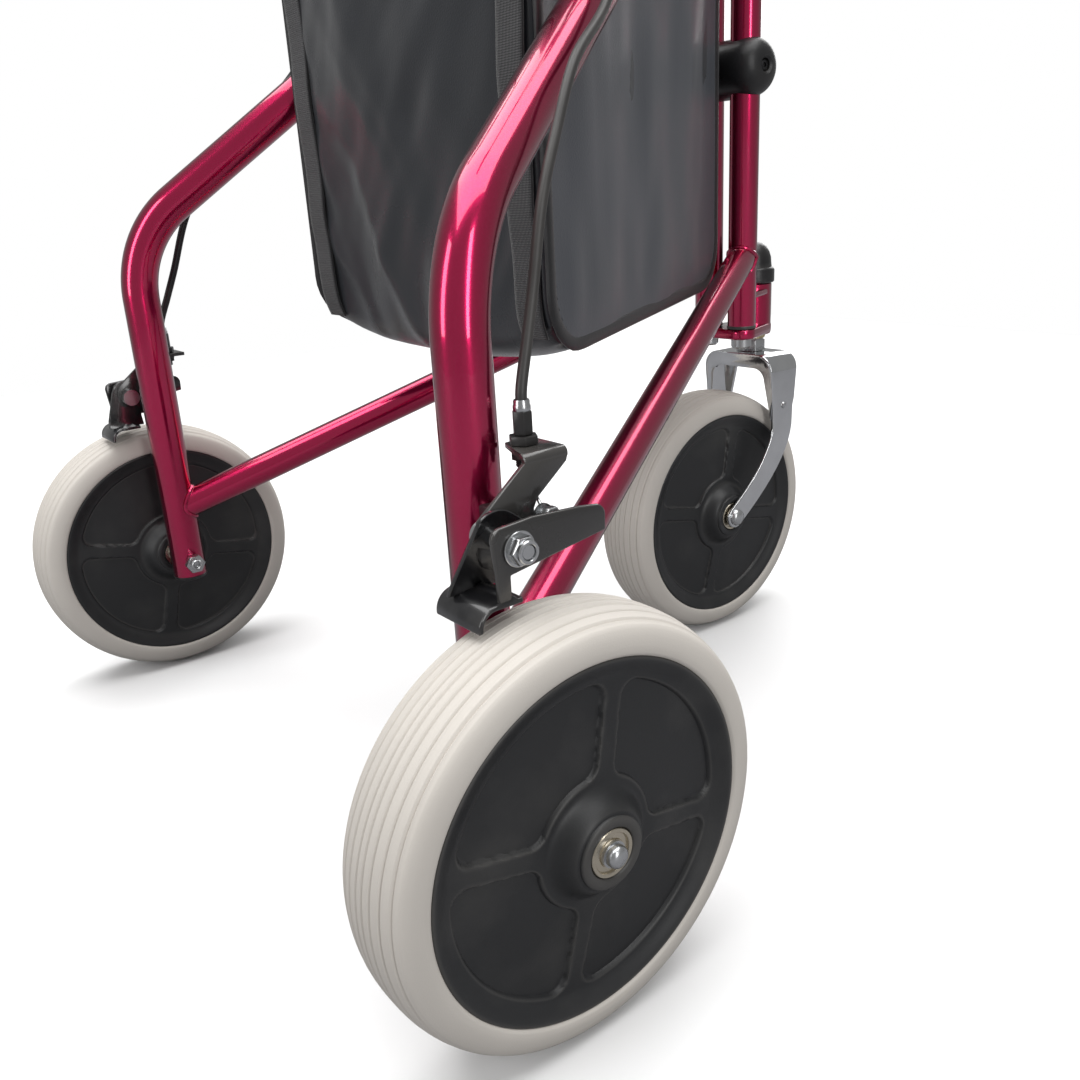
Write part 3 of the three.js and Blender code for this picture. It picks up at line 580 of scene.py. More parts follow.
def smooth_path(points: list[Vector], steps: int = 12) -> list[Station]:
    """A centripetal Catmull-Rom curve through the points.

    Args:
        points: the points that the curve passes through.
        steps: steps between two of them.

    Returns:
        Points with their unit tangents.
    """
    padded = [points[0] * 2 - points[1], *points, points[-1] * 2 - points[-2]]
    dense: list[Vector] = []
    for a, b, c, d in zip(padded, padded[1:], padded[2:], padded[3:]):
        t1 = (b - a).length ** 0.5
        t2 = t1 + (c - b).length ** 0.5
        t3 = t2 + (d - c).length ** 0.5
        for step in range(steps):
            t = t1 + (t2 - t1) * step / steps
            ab = a.lerp(b, t / t1)
            bc = b.lerp(c, (t - t1) / (t2 - t1))
            cd = c.lerp(d, (t - t2) / (t3 - t2))
            abc = ab.lerp(bc, t / t2)
            bcd = bc.lerp(cd, (t - t1) / (t3 - t1))
            dense.append(abc.lerp(bcd, (t - t1) / (t2 - t1)))
    dense.append(points[-1].copy())
    ends = zip([dense[0], *dense[:-1]], [*dense[1:], dense[-1]])
    return [(point, (after - before).normalized()) for point, (before, after) in zip(dense, ends)]


def station_matrices(stations: list[Station], upright: Vector) -> list[Matrix]:
    """Frames that follow a path without twisting.

    Args:
        stations: the path.
        upright: a direction that the first frame's y axis leans towards.

    Returns:
        One matrix for each station, its z along the path.
    """
    side = upright.cross(stations[0][1]).normalized()
    matrices = []
    for point, tangent in stations:
        side = (side - tangent * side.dot(tangent)).normalized()
        up = tangent.cross(side)
        turn = Matrix((side, up, tangent)).transposed().to_4x4()
        matrices.append(Matrix.Translation(point) @ turn)
    return matrices


def sweep(bm: BMesh, stations: list[Station], radius: float, segments: int = 40,
          closed: bool = False, flat: float = 1.0, upright: Vector = Vector((1, 0, 0.013))) -> None:
    """Extrudes a round or flattened section along a path.

    Args:
        bm: the mesh to add to.
        stations: the path.
        radius: the section's radius.
        segments: the section's sides.
        closed: True if the path's end meets its start.
        flat: the section's height as a share of its width.
        upright: steers the section's turn about the path.
    """
    matrices = station_matrices(stations, upright)
    squeeze = Matrix.Diagonal((1, flat, 1, 1))
    made = bmesh.ops.create_circle(bm, segments=segments, radius=radius, cap_ends=False,
                                   matrix=matrices[0] @ squeeze)
    ring = made["verts"]
    first_edges = list({edge for vert in ring for edge in vert.link_edges})
    edges = first_edges
    for before, after in zip(matrices, matrices[1:]):
        grown = bmesh.ops.extrude_edge_only(bm, edges=edges)["geom"]
        ring = [part for part in grown if isinstance(part, BMVert)]
        bmesh.ops.transform(bm, matrix=after @ before.inverted(), verts=ring)
        fresh = set(ring)
        edges = [part for part in grown if isinstance(part, BMEdge) and set(part.verts) <= fresh]
    if closed:
        bmesh.ops.bridge_loops(bm, edges=first_edges + edges)
    else:
        bmesh.ops.holes_fill(bm, edges=first_edges + edges, sides=segments)


def turn_profile(bm: BMesh, profile: Outline, segments: int = 64,
                 along: str = "X") -> list[BMVert]:
    """Spins a profile into a turned piece.

    Args:
        bm: the mesh to add to.
        profile: points as (radius, distance along the axis), from end to end.
        segments: steps round the axis.
        along: the axis, X, Y or Z.

    Returns:
        The vertices made.
    """
    axes = {"X": (Vector((1, 0, 0)), Vector((0, 0, 1))), "Y": (Vector((0, 1, 0)), Vector((1, 0, 0))),
            "Z": (Vector((0, 0, 1)), Vector((1, 0, 0)))}
    axis, outwards = axes[along]
    before = set(bm.verts)
    verts = [bm.verts.new(axis * distance + outwards * radius) for radius, distance in profile]
    edges = [bm.edges.new(pair) for pair in zip(verts, verts[1:])]
    bmesh.ops.spin(bm, geom=verts + edges, cent=(0, 0, 0), axis=axis, angle=2 * math.pi, steps=segments,
                   use_merge=True)
    fresh = [vert for vert in bm.verts if vert not in before]
    bmesh.ops.remove_doubles(bm, verts=fresh, dist=1e-4)
    return [vert for vert in bm.verts if vert not in before]


def turned(profile: Outline, segments: int = 64, along: str = "X",
           matrix: Matrix | None = None) -> BMesh:
    """A mesh of one turned piece, moved by a matrix if one is given."""
    bm = start_mesh()
    turn_profile(bm, profile, segments, along)
    if matrix:
        bm.transform(matrix)
    return bm


def ring_profile(inner: float, outer: float, low: float, high: float, ease: float) -> Outline:
    """A ring's closed profile with eased outer corners."""
    return [(inner, low), (outer - ease, low), (outer, low + ease), (outer, high - ease),
            (outer - ease, high), (inner, high), (inner, low)]


def plate(bm: BMesh, outline: Outline, low: float, high: float,
          plane: str = "YZ") -> None:
    """Extrudes a flat outline into a plate.

    Args:
        bm: the mesh to add to.
        outline: the outline's points in the plane.
        low: where the plate starts along the plane's normal.
        high: where it ends.
        plane: YZ, XZ or XY.
    """
    at = {"YZ": lambda a, b: Vector((low, a, b)), "XZ": lambda a, b: Vector((a, low, b)),
          "XY": lambda a, b: Vector((a, b, low))}[plane]
    push = {"YZ": Vector((high - low, 0, 0)), "XZ": Vector((0, high - low, 0)),
            "XY": Vector((0, 0, high - low))}[plane]
    face = bm.faces.new([bm.verts.new(at(a, b)) for a, b in outline])
    grown = bmesh.ops.extrude_face_region(bm, geom=[face])["geom"]
    verts = [part for part in grown if isinstance(part, BMVert)]
    bmesh.ops.translate(bm, vec=push, verts=verts)


def cuboid(bm: BMesh, size: tuple[float, float, float], centre: tuple[float, float, float]) -> None:
    """Adds a block of a size at a centre."""
    bmesh.ops.create_cube(bm, size=1.0, matrix=Matrix.Translation(centre) @ Matrix.Diagonal((*size, 1)))


def ease_edges(bm: BMesh, width: float, segments: int = 3, sharper_than: float = 25) -> None:
    """Bevels the edges that turn by more than an angle.

    Args:
        bm: the mesh.
        width: the bevel's width.
        segments: steps across the bevel.
        sharper_than: the angle in degrees.
    """
    bmesh.ops.recalc_face_normals(bm, faces=bm.faces)
    limit = math.radians(sharper_than)
    sharp = [edge for edge in bm.edges if edge.is_manifold and edge.calc_face_angle(0) > limit]
    bmesh.ops.bevel(bm, geom=sharp, offset=width, offset_type="OFFSET", segments=segments, profile=0.5,
                    affect="EDGES", material=-1, clamp_overlap=True)


def arc(centre: tuple[float, float], radius: float, start: float, end: float, steps: int) -> Outline:
    """Points along an arc, its angles in degrees."""
    angles = [math.radians(start + (end - start) * step / steps) for step in range(steps + 1)]
    return [(centre[0] + radius * math.cos(a), centre[1] + radius * math.sin(a)) for a in angles]


def smoothstep(value: float) -> float:
    """An eased step from 0 to 1."""
    clamped = min(1.0, max(0.0, value))
    return clamped * clamped * (3 - 2 * clamped)


def bake_modifiers(piece: Object) -> None:
    """Turns a piece's modifiers into its mesh."""
    graph = bpy.context.evaluated_depsgraph_get()
    made = bpy.data.meshes.new_from_object(piece.evaluated_get(graph), depsgraph=graph)
    piece.modifiers.clear()
    piece.data = made


def object_from(name: str, bm: BMesh) -> Object:
    """Makes a scene object of a bmesh and frees it."""
    mesh = bpy.data.meshes.new(name)
    bm.to_mesh(mesh)
    bm.free()
    made = bpy.data.objects.new(name, mesh)
    bpy.context.scene.collection.objects.link(made)
    return made


def combined(body: Object, cutter: Object, operation: str) -> BMesh:
    """Joins two closed solids by a boolean.

    Args:
        body: the solid that is kept or cut; it is removed.
        cutter: the other solid; it is removed.
        operation: DIFFERENCE or INTERSECT.

    Returns:
        The result.
    """
    shape = body.modifiers.new("shape", "BOOLEAN")
    shape.operation = operation
    shape.object = cutter
    shape.solver = "EXACT"
    bake_modifiers(body)
    bm = start_mesh()
    bm.from_mesh(body.data)
    bpy.data.objects.remove(body)
    bpy.data.objects.remove(cutter)
    return bm


def mark_smooth(piece: Object, angle: float) -> None:
    """Shades a piece smooth and keeps its sharper edges crisp.

    Args:
        piece: the piece.
        angle: the angle in degrees above which an edge is crisp.
    """
    bm = start_mesh()
    bm.from_mesh(piece.data)
    limit = math.radians(angle)
    for face in bm.faces:
        face.smooth = True
    for edge in bm.edges:
        edge.smooth = not edge.is_manifold or edge.calc_face_angle(0) < limit
    bm.to_mesh(piece.data)
    bm.free()


@dataclass(frozen=True)
class Place:
    """Where a piece belongs: the matrix to the row frame, its body and the CAD nodes it stands for."""

    matrix: Matrix
    body: str
    replaces: tuple[str, ...] = ()


def finish_piece(name: str, bm: BMesh, finish: Finish, place: Place,
                 sharp: float = 38) -> Object:
    """Turns a bmesh in millimetres into a finished piece of the walker.

    Args:
        name: the piece's name.
        bm: its mesh, which is freed.
        finish: its finish.
        place: its matrix, body and replaced nodes.
        sharp: edges sharper than this stay crisp, in degrees.

    Returns:
        The piece.
    """
    bmesh.ops.remove_doubles(bm, verts=bm.verts, dist=1e-4)
    bm.transform(Matrix.Scale(MM, 4) @ place.matrix)
    bmesh.ops.recalc_face_normals(bm, faces=bm.faces)
    piece = object_from(name, bm)
    return dress(piece, finish, place, sharp)


def dress(piece: Object, finish: Finish, place: Place, sharp: float = 38) -> Object:
    """Gives a piece its shading, finish, body and replaced nodes, and reports it.

    Args:
        piece: the piece, already in its place.
        finish: its finish.
        place: its body and replaced nodes.
        sharp: edges sharper than this stay crisp, in degrees.

    Returns:
        The piece.
    """
    mark_smooth(piece, sharp)
    piece.data.materials.clear()
    piece.data.materials.append(finish.material())
    if place.body:
        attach(piece, place.body)
    if place.replaces:
        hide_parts(*place.replaces)
    LOG.info("%s: %d faces", piece.name, len(piece.data.polygons))
    return piece


# --- Fasteners ---


@dataclass
class HexNut:
    """A chamfered hexagon nut or bolt head lying along x."""

    across: float = 10.0
    height: float = 5.0
    collar: float = 0.0

    def build(self, start: float) -> BMesh:
        """Makes the nut.

        Args:
            start: where its seat is along x.

        Returns:
            The mesh.
        """
        bm = start_mesh()
        corner = self.across / math.sqrt(3)
        outline = [(corner * math.cos(math.radians(60 * k)), corner * math.sin(math.radians(60 * k)))
                   for k in range(6)]
        plate(bm, outline, start, start + self.height)
        ease_edges(bm, 0.5, 2, 50)
        if self.collar:
            reach = start + self.height
            inner = self.collar * 0.66
            turn_profile(bm, [(inner, reach - 0.5), (self.collar, reach - 0.5), (self.collar, reach + 1.5),
                              (self.collar - 0.5, reach + 2.1), (inner + 0.3, reach + 2.1),
                              (inner, reach + 1.8), (inner, reach - 0.5)], 32)
        return bm


def washer(radius: float, low: float, high: float) -> BMesh:
    """A flat washer along x."""
    return turned(ring_profile(2.0, radius, low, high, 0.25), 40)


# --- Wheels ---


@dataclass
class Wheel:
    """Solid tyre on a moulded disc rim with ball bearings, built along x about its own centre."""

    radius: float = 100.0
    seat: float = 82.35
    half: float = 24.0
    hub_half: float = 32.0
    hub_ring: float = 16.6
    hub_foot: float = 27.5
    disc: float = 21.3
    dish: float = 19.6
    pocket_inner: float = 30.0
    pocket_outer: float = 71.5
    pocket_depth: float = 1.9
    spoke_half: float = 4.6
    pocket_corner: float = 7.5
    spokes: int = 4
    spoke_turn: float = 12.0
    segments: int = 384

    def tyre(self) -> BMesh:
        """The tyre, with stepped ribs round the tread."""
        side = [(self.seat, 23.0), (self.seat + 0.8, 24.0), (84.0, 24.3), (87, 24.2), (90.5, 23.6),
                (93.5, 22.4)]
        profile = [(radius, -across) for radius, across in side]
        crown = 132
        for step in range(crown + 1):
            across = -21.2 + 42.4 * step / crown
            drop = 4.6 * (abs(across) / 21.2) ** 2.6
            groove = 0.0
            for centre in (-18.3, -13.0, -7.4, -2.2, 2.2, 7.4, 13.0, 18.3):
                groove += 0.75 * math.exp(-(((across - centre) / 0.5) ** 2))
                groove -= 0.22 * math.exp(-(((abs(across - centre) - 0.95) / 0.45) ** 2))
            profile.append((self.radius - 0.25 - drop - groove, across))
        profile += reversed(side)
        return turned([*profile, profile[0]], 180)

    def pocket(self, radius: float, angle: float) -> float:
        """How deep the face is pressed at a place.

        Args:
            radius: distance from the axle.
            angle: angle round it, in radians.

        Returns:
            The depth, 0 on spokes and rings.
        """
        step = 2 * math.pi / self.spokes
        local = (angle - math.radians(self.spoke_turn)) % step
        nearest = min(local, step - local)
        middle = (self.pocket_inner + self.pocket_outer) / 2
        beyond = abs(radius - middle) - (self.pocket_outer - self.pocket_inner) / 2
        flank = self.spoke_half - radius * math.sin(min(nearest, math.pi / 2))
        ease = self.pocket_corner * (1.15 if radius > middle else 0.75)
        inside = -(math.hypot(max(beyond + ease, 0), max(flank + ease, 0)) - ease)
        if beyond + ease < 0 and flank + ease < 0:
            inside = -max(beyond, flank)
        return self.pocket_depth * smoothstep(inside / 1.0 + 0.2)

    def face_height(self, radius: float) -> float:
        """How far the disc's face stands from the wheel's middle plane.

        Args:
            radius: the distance from the axle.

        Returns:
            The height of the face.
        """
        if radius < self.hub_foot:
            share = (radius - self.hub_ring) / (self.hub_foot - self.hub_ring)
            return self.disc + (self.hub_half - 1.6 - self.disc) * (1 - smoothstep(share)) ** 1.15
        if radius < self.pocket_outer:
            share = (radius - self.hub_foot) / (self.pocket_outer - self.hub_foot)
            return self.disc + (self.dish - self.disc) * smoothstep(share)
        share = (radius - self.pocket_outer) / (self.seat - 1.2 - self.pocket_outer)
        return self.dish + (self.half - 0.5 - self.dish) * smoothstep(share * 0.85) / smoothstep(0.85)

    def rim(self) -> BMesh:
        """The rim, both faces pressed with pockets between its spokes."""
        face = [(11.35, self.hub_half - 1.0), (12.2, self.hub_half), (self.hub_ring - 0.8, self.hub_half),
                (self.hub_ring, self.hub_half - 0.7)]
        steps = 92
        last = self.seat - 1.2
        for step in range(steps + 1):
            radius = self.hub_ring + 0.15 + (last - self.hub_ring - 0.15) * step / steps
            face.append((radius, self.face_height(radius)))
        face += [(self.seat - 0.4, self.half - 0.6), (self.seat - 0.05, self.half - 1.1)]
        back = [(radius, -height) for radius, height in reversed(face)]
        bm = turned([*face, *back, face[0]], self.segments)
        for vert in bm.verts:
            radius = math.hypot(vert.co.y, vert.co.z)
            if self.hub_foot < radius < self.pocket_outer + 3:
                depth = self.pocket(radius, math.atan2(vert.co.z, vert.co.y))
                vert.co.x -= math.copysign(depth, vert.co.x)
        return bm

    def bearing(self, end: float) -> BMesh:
        """A ball bearing: races with a shield sunk between them.

        Args:
            end: -1 or 1, which end of the hub.

        Returns:
            The mesh.
        """
        out = self.hub_half - 0.35
        profile = [(4.35, out - 7), (4.35, out - 0.2), (6.2, out - 0.2), (6.5, out - 0.9), (8.9, out - 1.1),
                   (9.1, out - 0.3), (9.4, out), (10.8, out), (11.15, out - 0.4), (11.2, out - 7),
                   (4.35, out - 7)]
        return turned([(radius, end * along) for radius, along in profile], 56)

    def build(self, prefix: str, suffix: str, matrix: Matrix, body: str) -> None:
        """Makes and dresses the wheel's pieces.

        Args:
            prefix: the start of the node names, front or rear.
            suffix: their end, empty or the side.
            matrix: the wheel's place.
            body: the body it turns with.
        """
        finish_piece(f"tyre_{prefix}{suffix}", self.tyre(), TYRE,
                     Place(matrix, body, (f"{prefix}_tyre{suffix}",)))
        finish_piece(f"rim_{prefix}{suffix}", self.rim(), RIM,
                     Place(matrix, body, (f"{prefix}_rim{suffix}",)), 50)
        for end, letter in ((-1, "a"), (1, "b")):
            node = f"{prefix}_bearing_{letter}{suffix}"
            piece = f"bearing_{letter}_{prefix}{suffix}"
            finish_piece(piece, self.bearing(end), BEARING, Place(matrix, body, (node,)))


# --- Side frames ---


@dataclass
class SideFrame:
    """One side frame's tubes, in (outwards, along the frame, height)."""

    side: Side
    main_radius: float = 12.7
    rail_radius: float = 11.0
    leg_bottom: float = 88.0
    leg_corner: float = 342.0
    post_along: float = 253.7
    post_corner: float = 471.5
    post_top: float = 700.0
    main_bend: float = 80.0
    hinge_bottom: float = 250.0
    rail_corner: float = 628.0
    rail_end: float = 670.0
    rail_bend: float = 60.0
    brace_leg: float = 142.0
    brace_hinge: float = 304.0

    @property
    def body(self) -> str:
        """The body that the side frame is."""
        return f"frame_{self.side.word}"

    def place(self, *nodes: str) -> Place:
        """A place on this side frame that stands for some of its nodes."""
        names = tuple(f"{node}_{self.side.word}" for node in nodes)
        return Place(LAYOUT.side_frame(self.side), self.body, names)

    def tubes(self) -> None:
        """Makes the main tube, the hinge tube and the lower brace."""
        reach = LAYOUT.reach
        word = self.side.word
        corners = [Vector((0, reach, self.leg_bottom)), Vector((0, reach, self.leg_corner)),
                   Vector((0, self.post_along, self.post_corner)),
                   Vector((0, self.post_along, self.post_top))]
        bm = start_mesh()
        sweep(bm, bent_path(corners, self.main_bend, 26), self.main_radius, 48)
        ease_edges(bm, 0.6, 2, 60)
        finish_piece(f"tube_leg_post_{word}", bm, PAINT, self.place("main_tube"))
        corners = [Vector((0, 0, self.hinge_bottom)), Vector((0, 0, self.rail_corner)),
                   Vector((0, self.post_along - 6, self.rail_end - 1))]
        bm = start_mesh()
        sweep(bm, bent_path(corners, self.rail_bend, 22), self.rail_radius, 44)
        ease_edges(bm, 0.6, 2, 60)
        finish_piece(f"tube_hinge_rail_{word}", bm, PAINT, self.place("hinge_tube"))
        start, end = self.brace_ends()
        bm = start_mesh()
        sweep(bm, bent_path([start, end], 0, 1), self.rail_radius, 44)
        finish_piece(f"tube_lower_brace_{word}", bm, PAINT, self.place("lower_brace"))

    def brace_ends(self) -> tuple[Vector, Vector]:
        """Where the lower brace's axis ends, just inside the tubes that it is welded to."""
        reach = LAYOUT.reach
        slope = (self.brace_hinge - self.brace_leg) / reach
        start = Vector((0, reach - 6, self.brace_leg + 6 * slope))
        return start, Vector((0, 5, self.brace_hinge - 5 * slope))

    def weld(self, name: str, radius: float, post: float, centre: Vector, toward: Vector) -> None:
        """Lays a weld bead where a tube meets an upright one.

        Args:
            name: the bead's name.
            radius: the arriving tube's radius.
            post: the upright tube's radius.
            centre: where the arriving tube's axis meets the upright's.
            toward: the arriving tube's direction, away from the upright.
        """
        aim = toward.normalized()
        across = Vector((1, 0, 0))
        up = aim.cross(across)
        steps = 96
        stations = []
        for step in range(steps):
            angle = 2 * math.pi * step / steps
            offset = across * radius * math.cos(angle) + up * radius * math.sin(angle)
            needed = math.sqrt(max(post * post - offset.x ** 2, 0.0))
            along = (needed - offset.y * math.copysign(1, aim.y)) / abs(aim.y)
            stations.append(centre + offset + aim * along)
        ring = [(point, (stations[(k + 1) % steps] - stations[k - 1]).normalized())
                for k, point in enumerate(stations)]
        bm = start_mesh()
        sweep(bm, ring, 1.7, 8, closed=True, upright=Vector((0.3, 1, 0.2)))
        for vert in bm.verts:
            ripple = noise.noise(vert.co * 0.35)
            vert.co += (vert.co - centre).normalized() * 0.35 * ripple
        finish_piece(name, bm, PAINT, self.place())

    def welds(self) -> None:
        """Makes the beads at both ends of the brace and at the rail's end."""
        word = self.side.word
        reach = LAYOUT.reach
        rise = self.brace_hinge - self.brace_leg
        down = Vector((0, reach, -rise))
        self.weld(f"weld_leg_{word}", self.rail_radius, self.main_radius, Vector((0, reach, self.brace_leg)),
                  -down)
        self.weld(f"weld_hinge_{word}", self.rail_radius, self.rail_radius, Vector((0, 0, self.brace_hinge)),
                  down)
        slope = Vector((0, -self.post_along, self.rail_corner - self.rail_end))
        centre = Vector((0, self.post_along, self.rail_end))
        self.weld(f"weld_rail_{word}", self.rail_radius, self.main_radius, centre, slope)

    def trims(self) -> None:
        """Makes the post's collar, the leg's end plug and the hinge tube's foot."""
        word = self.side.word
        low = self.post_top - 14
        collar = [(12.9, low), (14.6, low), (15.2, low + 1), (15.2, self.post_top - 1),
                  (14.4, self.post_top + 2), (11.6, self.post_top + 3.5), (10.9, self.post_top + 3),
                  (10.9, self.post_top), (12.9, low)]
        lift = move_to(0, self.post_along, 0)
        finish_piece(f"post_collar_{word}", turned(collar, 56, "Z", lift), PLASTIC, self.place())
        plug = [(0, 84.5), (9, 84.5), (12.2, 86), (13.0, 88.2), (12.2, 88.6), (0, 88.6)]
        lift = move_to(0, LAYOUT.reach, 0)
        finish_piece(f"leg_plug_{word}", turned(plug, 48, "Z", lift), PLASTIC, self.place())
        foot = [(6, 248.8), (10, 248.8), (11.4, 249.4), (11.4, 251), (10.6, 252), (6, 252), (6, 248.8)]
        finish_piece(f"hinge_foot_{word}", turned(foot, 44, "Z"), PLASTIC, self.place())

    def build(self) -> None:
        """Makes the whole side frame."""
        self.tubes()
        self.welds()
        self.trims()


# --- Rear corner: axle, brake bracket, lever, cable end ---


@dataclass
class RearBrake:
    """Axle bolt and brake of one rear wheel, in (outwards from the leg, rearwards, height)."""

    side: Side
    pivot_y: float = 13.0
    pivot_z: float = 228.0
    axle_z: float = 100.0
    bracket_x: float = 30.5
    sheet: float = 2.5
    adjuster_x: float = 17.4
    adjuster_y: float = -16.0
    tab_z: float = 256.5
    shoe_z: float = 207.5
    shoe_nose: float = 9.0
    wheel_middle: float = 52.3
    hub_half: float = 32.0

    def place(self, body: str, *nodes: str) -> Place:
        """A place at this corner on a body, standing for some nodes."""
        word = self.side.word
        return Place(LAYOUT.corner(self.side), f"{body}_{word}", tuple(f"{node}_{word}" for node in nodes))

    def axle(self) -> None:
        """Makes the axle's inner head, spacer and domed outer end."""
        word = self.side.word
        raised = move_to(0, 0, self.axle_z)
        inner = self.wheel_middle - self.hub_half - 0.35
        outer = self.wheel_middle + self.hub_half - 0.4
        body = [(0, -14), (4, -14), (4, 12.9), (7.6, 12.9), (8.2, 13.6), (8.2, inner - 0.8), (7.4, inner),
                (4, inner), (4, outer - 0.4), (6.0, outer - 0.4), (6.0, outer + 0.9), (5.1, outer + 1.0),
                (5.1, outer + 3.2), (4.6, outer + 4.4), (3.2, outer + 5.4), (0, outer + 5.8)]
        bm = turned(body, 48)
        nut = HexNut(13.0, 6.0, 4.0).build(12.8)
        nut.transform(Matrix.Diagonal((-1, 1, 1, 1)))
        merge_into(bm, nut)
        bm.transform(raised)
        finish_piece(f"axle_bolt_{word}", bm, ZINC, self.place("frame", "rear_axle"))

    def bracket(self) -> None:
        """Makes the stamped bracket: welded pad, leaning strip and folded tab."""
        x, top = self.bracket_x, self.tab_z
        bm = start_mesh()
        outline = [(-27, top - 1), (-26, top - 4), (-10, 240), (-8, 236), (-8, 218), (-6, 215.5), (4, 214),
                   (13, 214.5), (19, 217), (21.5, 223), (21.5, 231), (19.5, 236.5), (-4.5, top - 1)]
        plate(bm, outline, x, x + self.sheet)
        ease_edges(bm, 0.5, 2, 30)
        fold = start_mesh()
        bend = arc((x + self.sheet - 3.2, top - 0.7), 3.2, 0, 90, 8)
        back = arc((x + self.sheet - 3.2, top - 0.7), 0.7, 90, 0, 5)
        outline = [(x + self.sheet, top - 2), *bend, (8, top + 2.5), (8, top), *back, (x, top - 2)]
        plate(fold, outline, -27, -4.5, "XZ")
        for vert in fold.verts:
            if vert.co.x < 12 and vert.co.y > -10:
                vert.co.y = -12.5
                vert.co.x += 0.5
        ease_edges(fold, 0.5, 2, 40)
        merge_into(bm, fold)
        pad = start_mesh()
        plate(pad, [(11.2, -8), (x + 0.2, -8), (x + 0.2, 5), (10.8, 5)], 216, 236, "XY")
        ease_edges(pad, 1.0, 2, 30)
        merge_into(bm, pad)
        finish_piece(f"bracket_{self.side.word}", bm, ENAMEL, self.place("frame", "brake_bracket"), 30)

    def lever(self) -> None:
        """Makes the brake lever: two cheeks standing on the pressed shoe."""
        y, z = self.pivot_y, self.pivot_z
        bm = start_mesh()
        outer = [(25.2, 233.5), (24.4, 236.2), (21.5, 237.9), (5, 239), (-18, 237.6),
                 *arc((-27, 231), 5.6, 110, 190, 6), (-32.4, 224.6), (17, 217.6), (17.2, 206.5),
                 (23.2, 206.5), (23.8, 219)]
        plate(bm, outer, 46.5, 49)
        inner = [(33.2, 206.5), (32, 212), (24, 232), *arc((y, z), 12.6, 48, 128, 9), (-0.5, 233.5),
                 (-15, 231.5), (-16, 226), (3, 220), (7, 214), (7, 206.5)]
        plate(bm, inner, 33.5, 36)
        for vert in bm.verts:
            if vert.co.x < 40:
                vert.co.x -= max(0.0, 226 - vert.co.z) * 0.45
        ease_edges(bm, 0.8, 3, 30)
        merge_into(bm, self.shoe())
        finish_piece(f"shoe_lever_{self.side.word}", bm, ENAMEL, self.place("shoe_lever", "brake_lever"), 30)

    def shoe(self) -> BMesh:
        """The shoe: a plate with a pressed rib, its rear edge rolled down over the tread."""
        centre = (25.0, self.shoe_z - self.shoe_nose)
        top = [(12, self.shoe_z), (14.5, self.shoe_z), *arc((18.5, self.shoe_z + 0.2), 2.4, 160, 20, 8)]
        outline = [*top, *arc(centre, self.shoe_nose, 88, -8, 16), *arc(centre, self.shoe_nose - 2.4, -8, 88,
                                                                        14)]
        bm = start_mesh()
        plate(bm, [*outline, (12, self.shoe_z - 2.4)], 18, 49)
        for vert in bm.verts:
            if vert.co.z > self.shoe_z + 0.3:
                vert.co.x = 36.5 + (vert.co.x - 33.5) * 0.5
        ease_edges(bm, 0.6, 2, 40)
        return bm

    def pivot(self) -> None:
        """Makes the pivot bolt with its washer and lock nut, and the wire's pinch bolt."""
        word = self.side.word
        raised = move_to(0, self.pivot_y, self.pivot_z)
        bm = turned([(0, 24), (6, 24), (6, 30.2), (4, 30.2), (4, 50), (0, 50)], 32)
        merge_into(bm, washer(7.4, 49.1, 50.4))
        merge_into(bm, HexNut(11.0, 4.0, 5.0).build(50.3))
        merge_into(bm, turned([(0, 54), (3.25, 54), (3.25, 55.2), (2.8, 55.7), (0, 55.7)], 28))
        bm.transform(raised)
        finish_piece(f"pivot_bolt_{word}", bm, ZINC, self.place("frame", "brake_pivot_bolt"))
        bm = turned([(0, 36), (4.6, 36), (4.6, 37.2), (2.4, 37.2), (2.4, 44.5), (0, 44.5)], 24)
        merge_into(bm, HexNut(8.0, 4.0, 0.0).build(39.5))
        bm.transform(move_to(0, -9.5, 234))
        finish_piece(f"pinch_bolt_{word}", bm, ZINC, self.place("shoe_lever"))

    def cable_end(self) -> None:
        """Makes the adjuster with its lock nut, the ferrule and the bare wire below them."""
        word = self.side.word
        stand = move_to(self.adjuster_x, self.adjuster_y, 0) @ Matrix.Rotation(-math.pi / 2, 4, "Y")
        top = self.tab_z + self.sheet
        bm = HexNut(11.4, 3.8).build(top + 0.2)
        merge_into(bm, HexNut(7.8, 10.0).build(top + 4.2))
        merge_into(bm, turned([(4, top - 6.8), (5.4, top - 6.4), (5.4, top - 3.2), (4, top - 2.8),
                               (4, top - 6.8)], 6))
        thread = [(0, self.tab_z - 7), (3.6, self.tab_z - 7)]
        for turn_count in range(8):
            foot = self.tab_z - 6.5 + turn_count * 0.9
            thread += [(3.9, foot + 0.25), (3.5, foot + 0.7)]
        merge_into(bm, turned([*thread, (0, top + 1)], 28))
        bm.transform(stand)
        finish_piece(f"adjuster_{word}", bm, ADJUSTER, self.place("frame", "cable_adjuster"), 30)
        foot = top + 14.1
        sleeve = [(2.2, foot), (3.6, foot), (3.8, foot + 0.4), (3.8, foot + 2.2), (3.5, foot + 2.8),
                  (3.5, foot + 4.2), (3.2, foot + 4.8), (2.2, foot + 4.8), (2.2, foot)]
        bm = turned(sleeve, 32)
        bm.transform(stand)
        finish_piece(f"ferrule_{word}", bm, ZINC, self.place("frame"))
        low = Vector((36.8, -10.5, 234))
        high = Vector((self.adjuster_x, self.adjuster_y, self.tab_z - 5.5))
        bm = start_mesh()
        sweep(bm, smooth_path([low, low.lerp(high, 0.5) + Vector((0, 1.2, 0)), high], 8), 0.8, 10)
        wire = finish_piece(f"bare_wire_{word}", bm, ZINC, Place(LAYOUT.corner(self.side), ""))
        to_row = Matrix.Scale(MM, 4) @ LAYOUT.corner(self.side)
        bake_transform(wire)

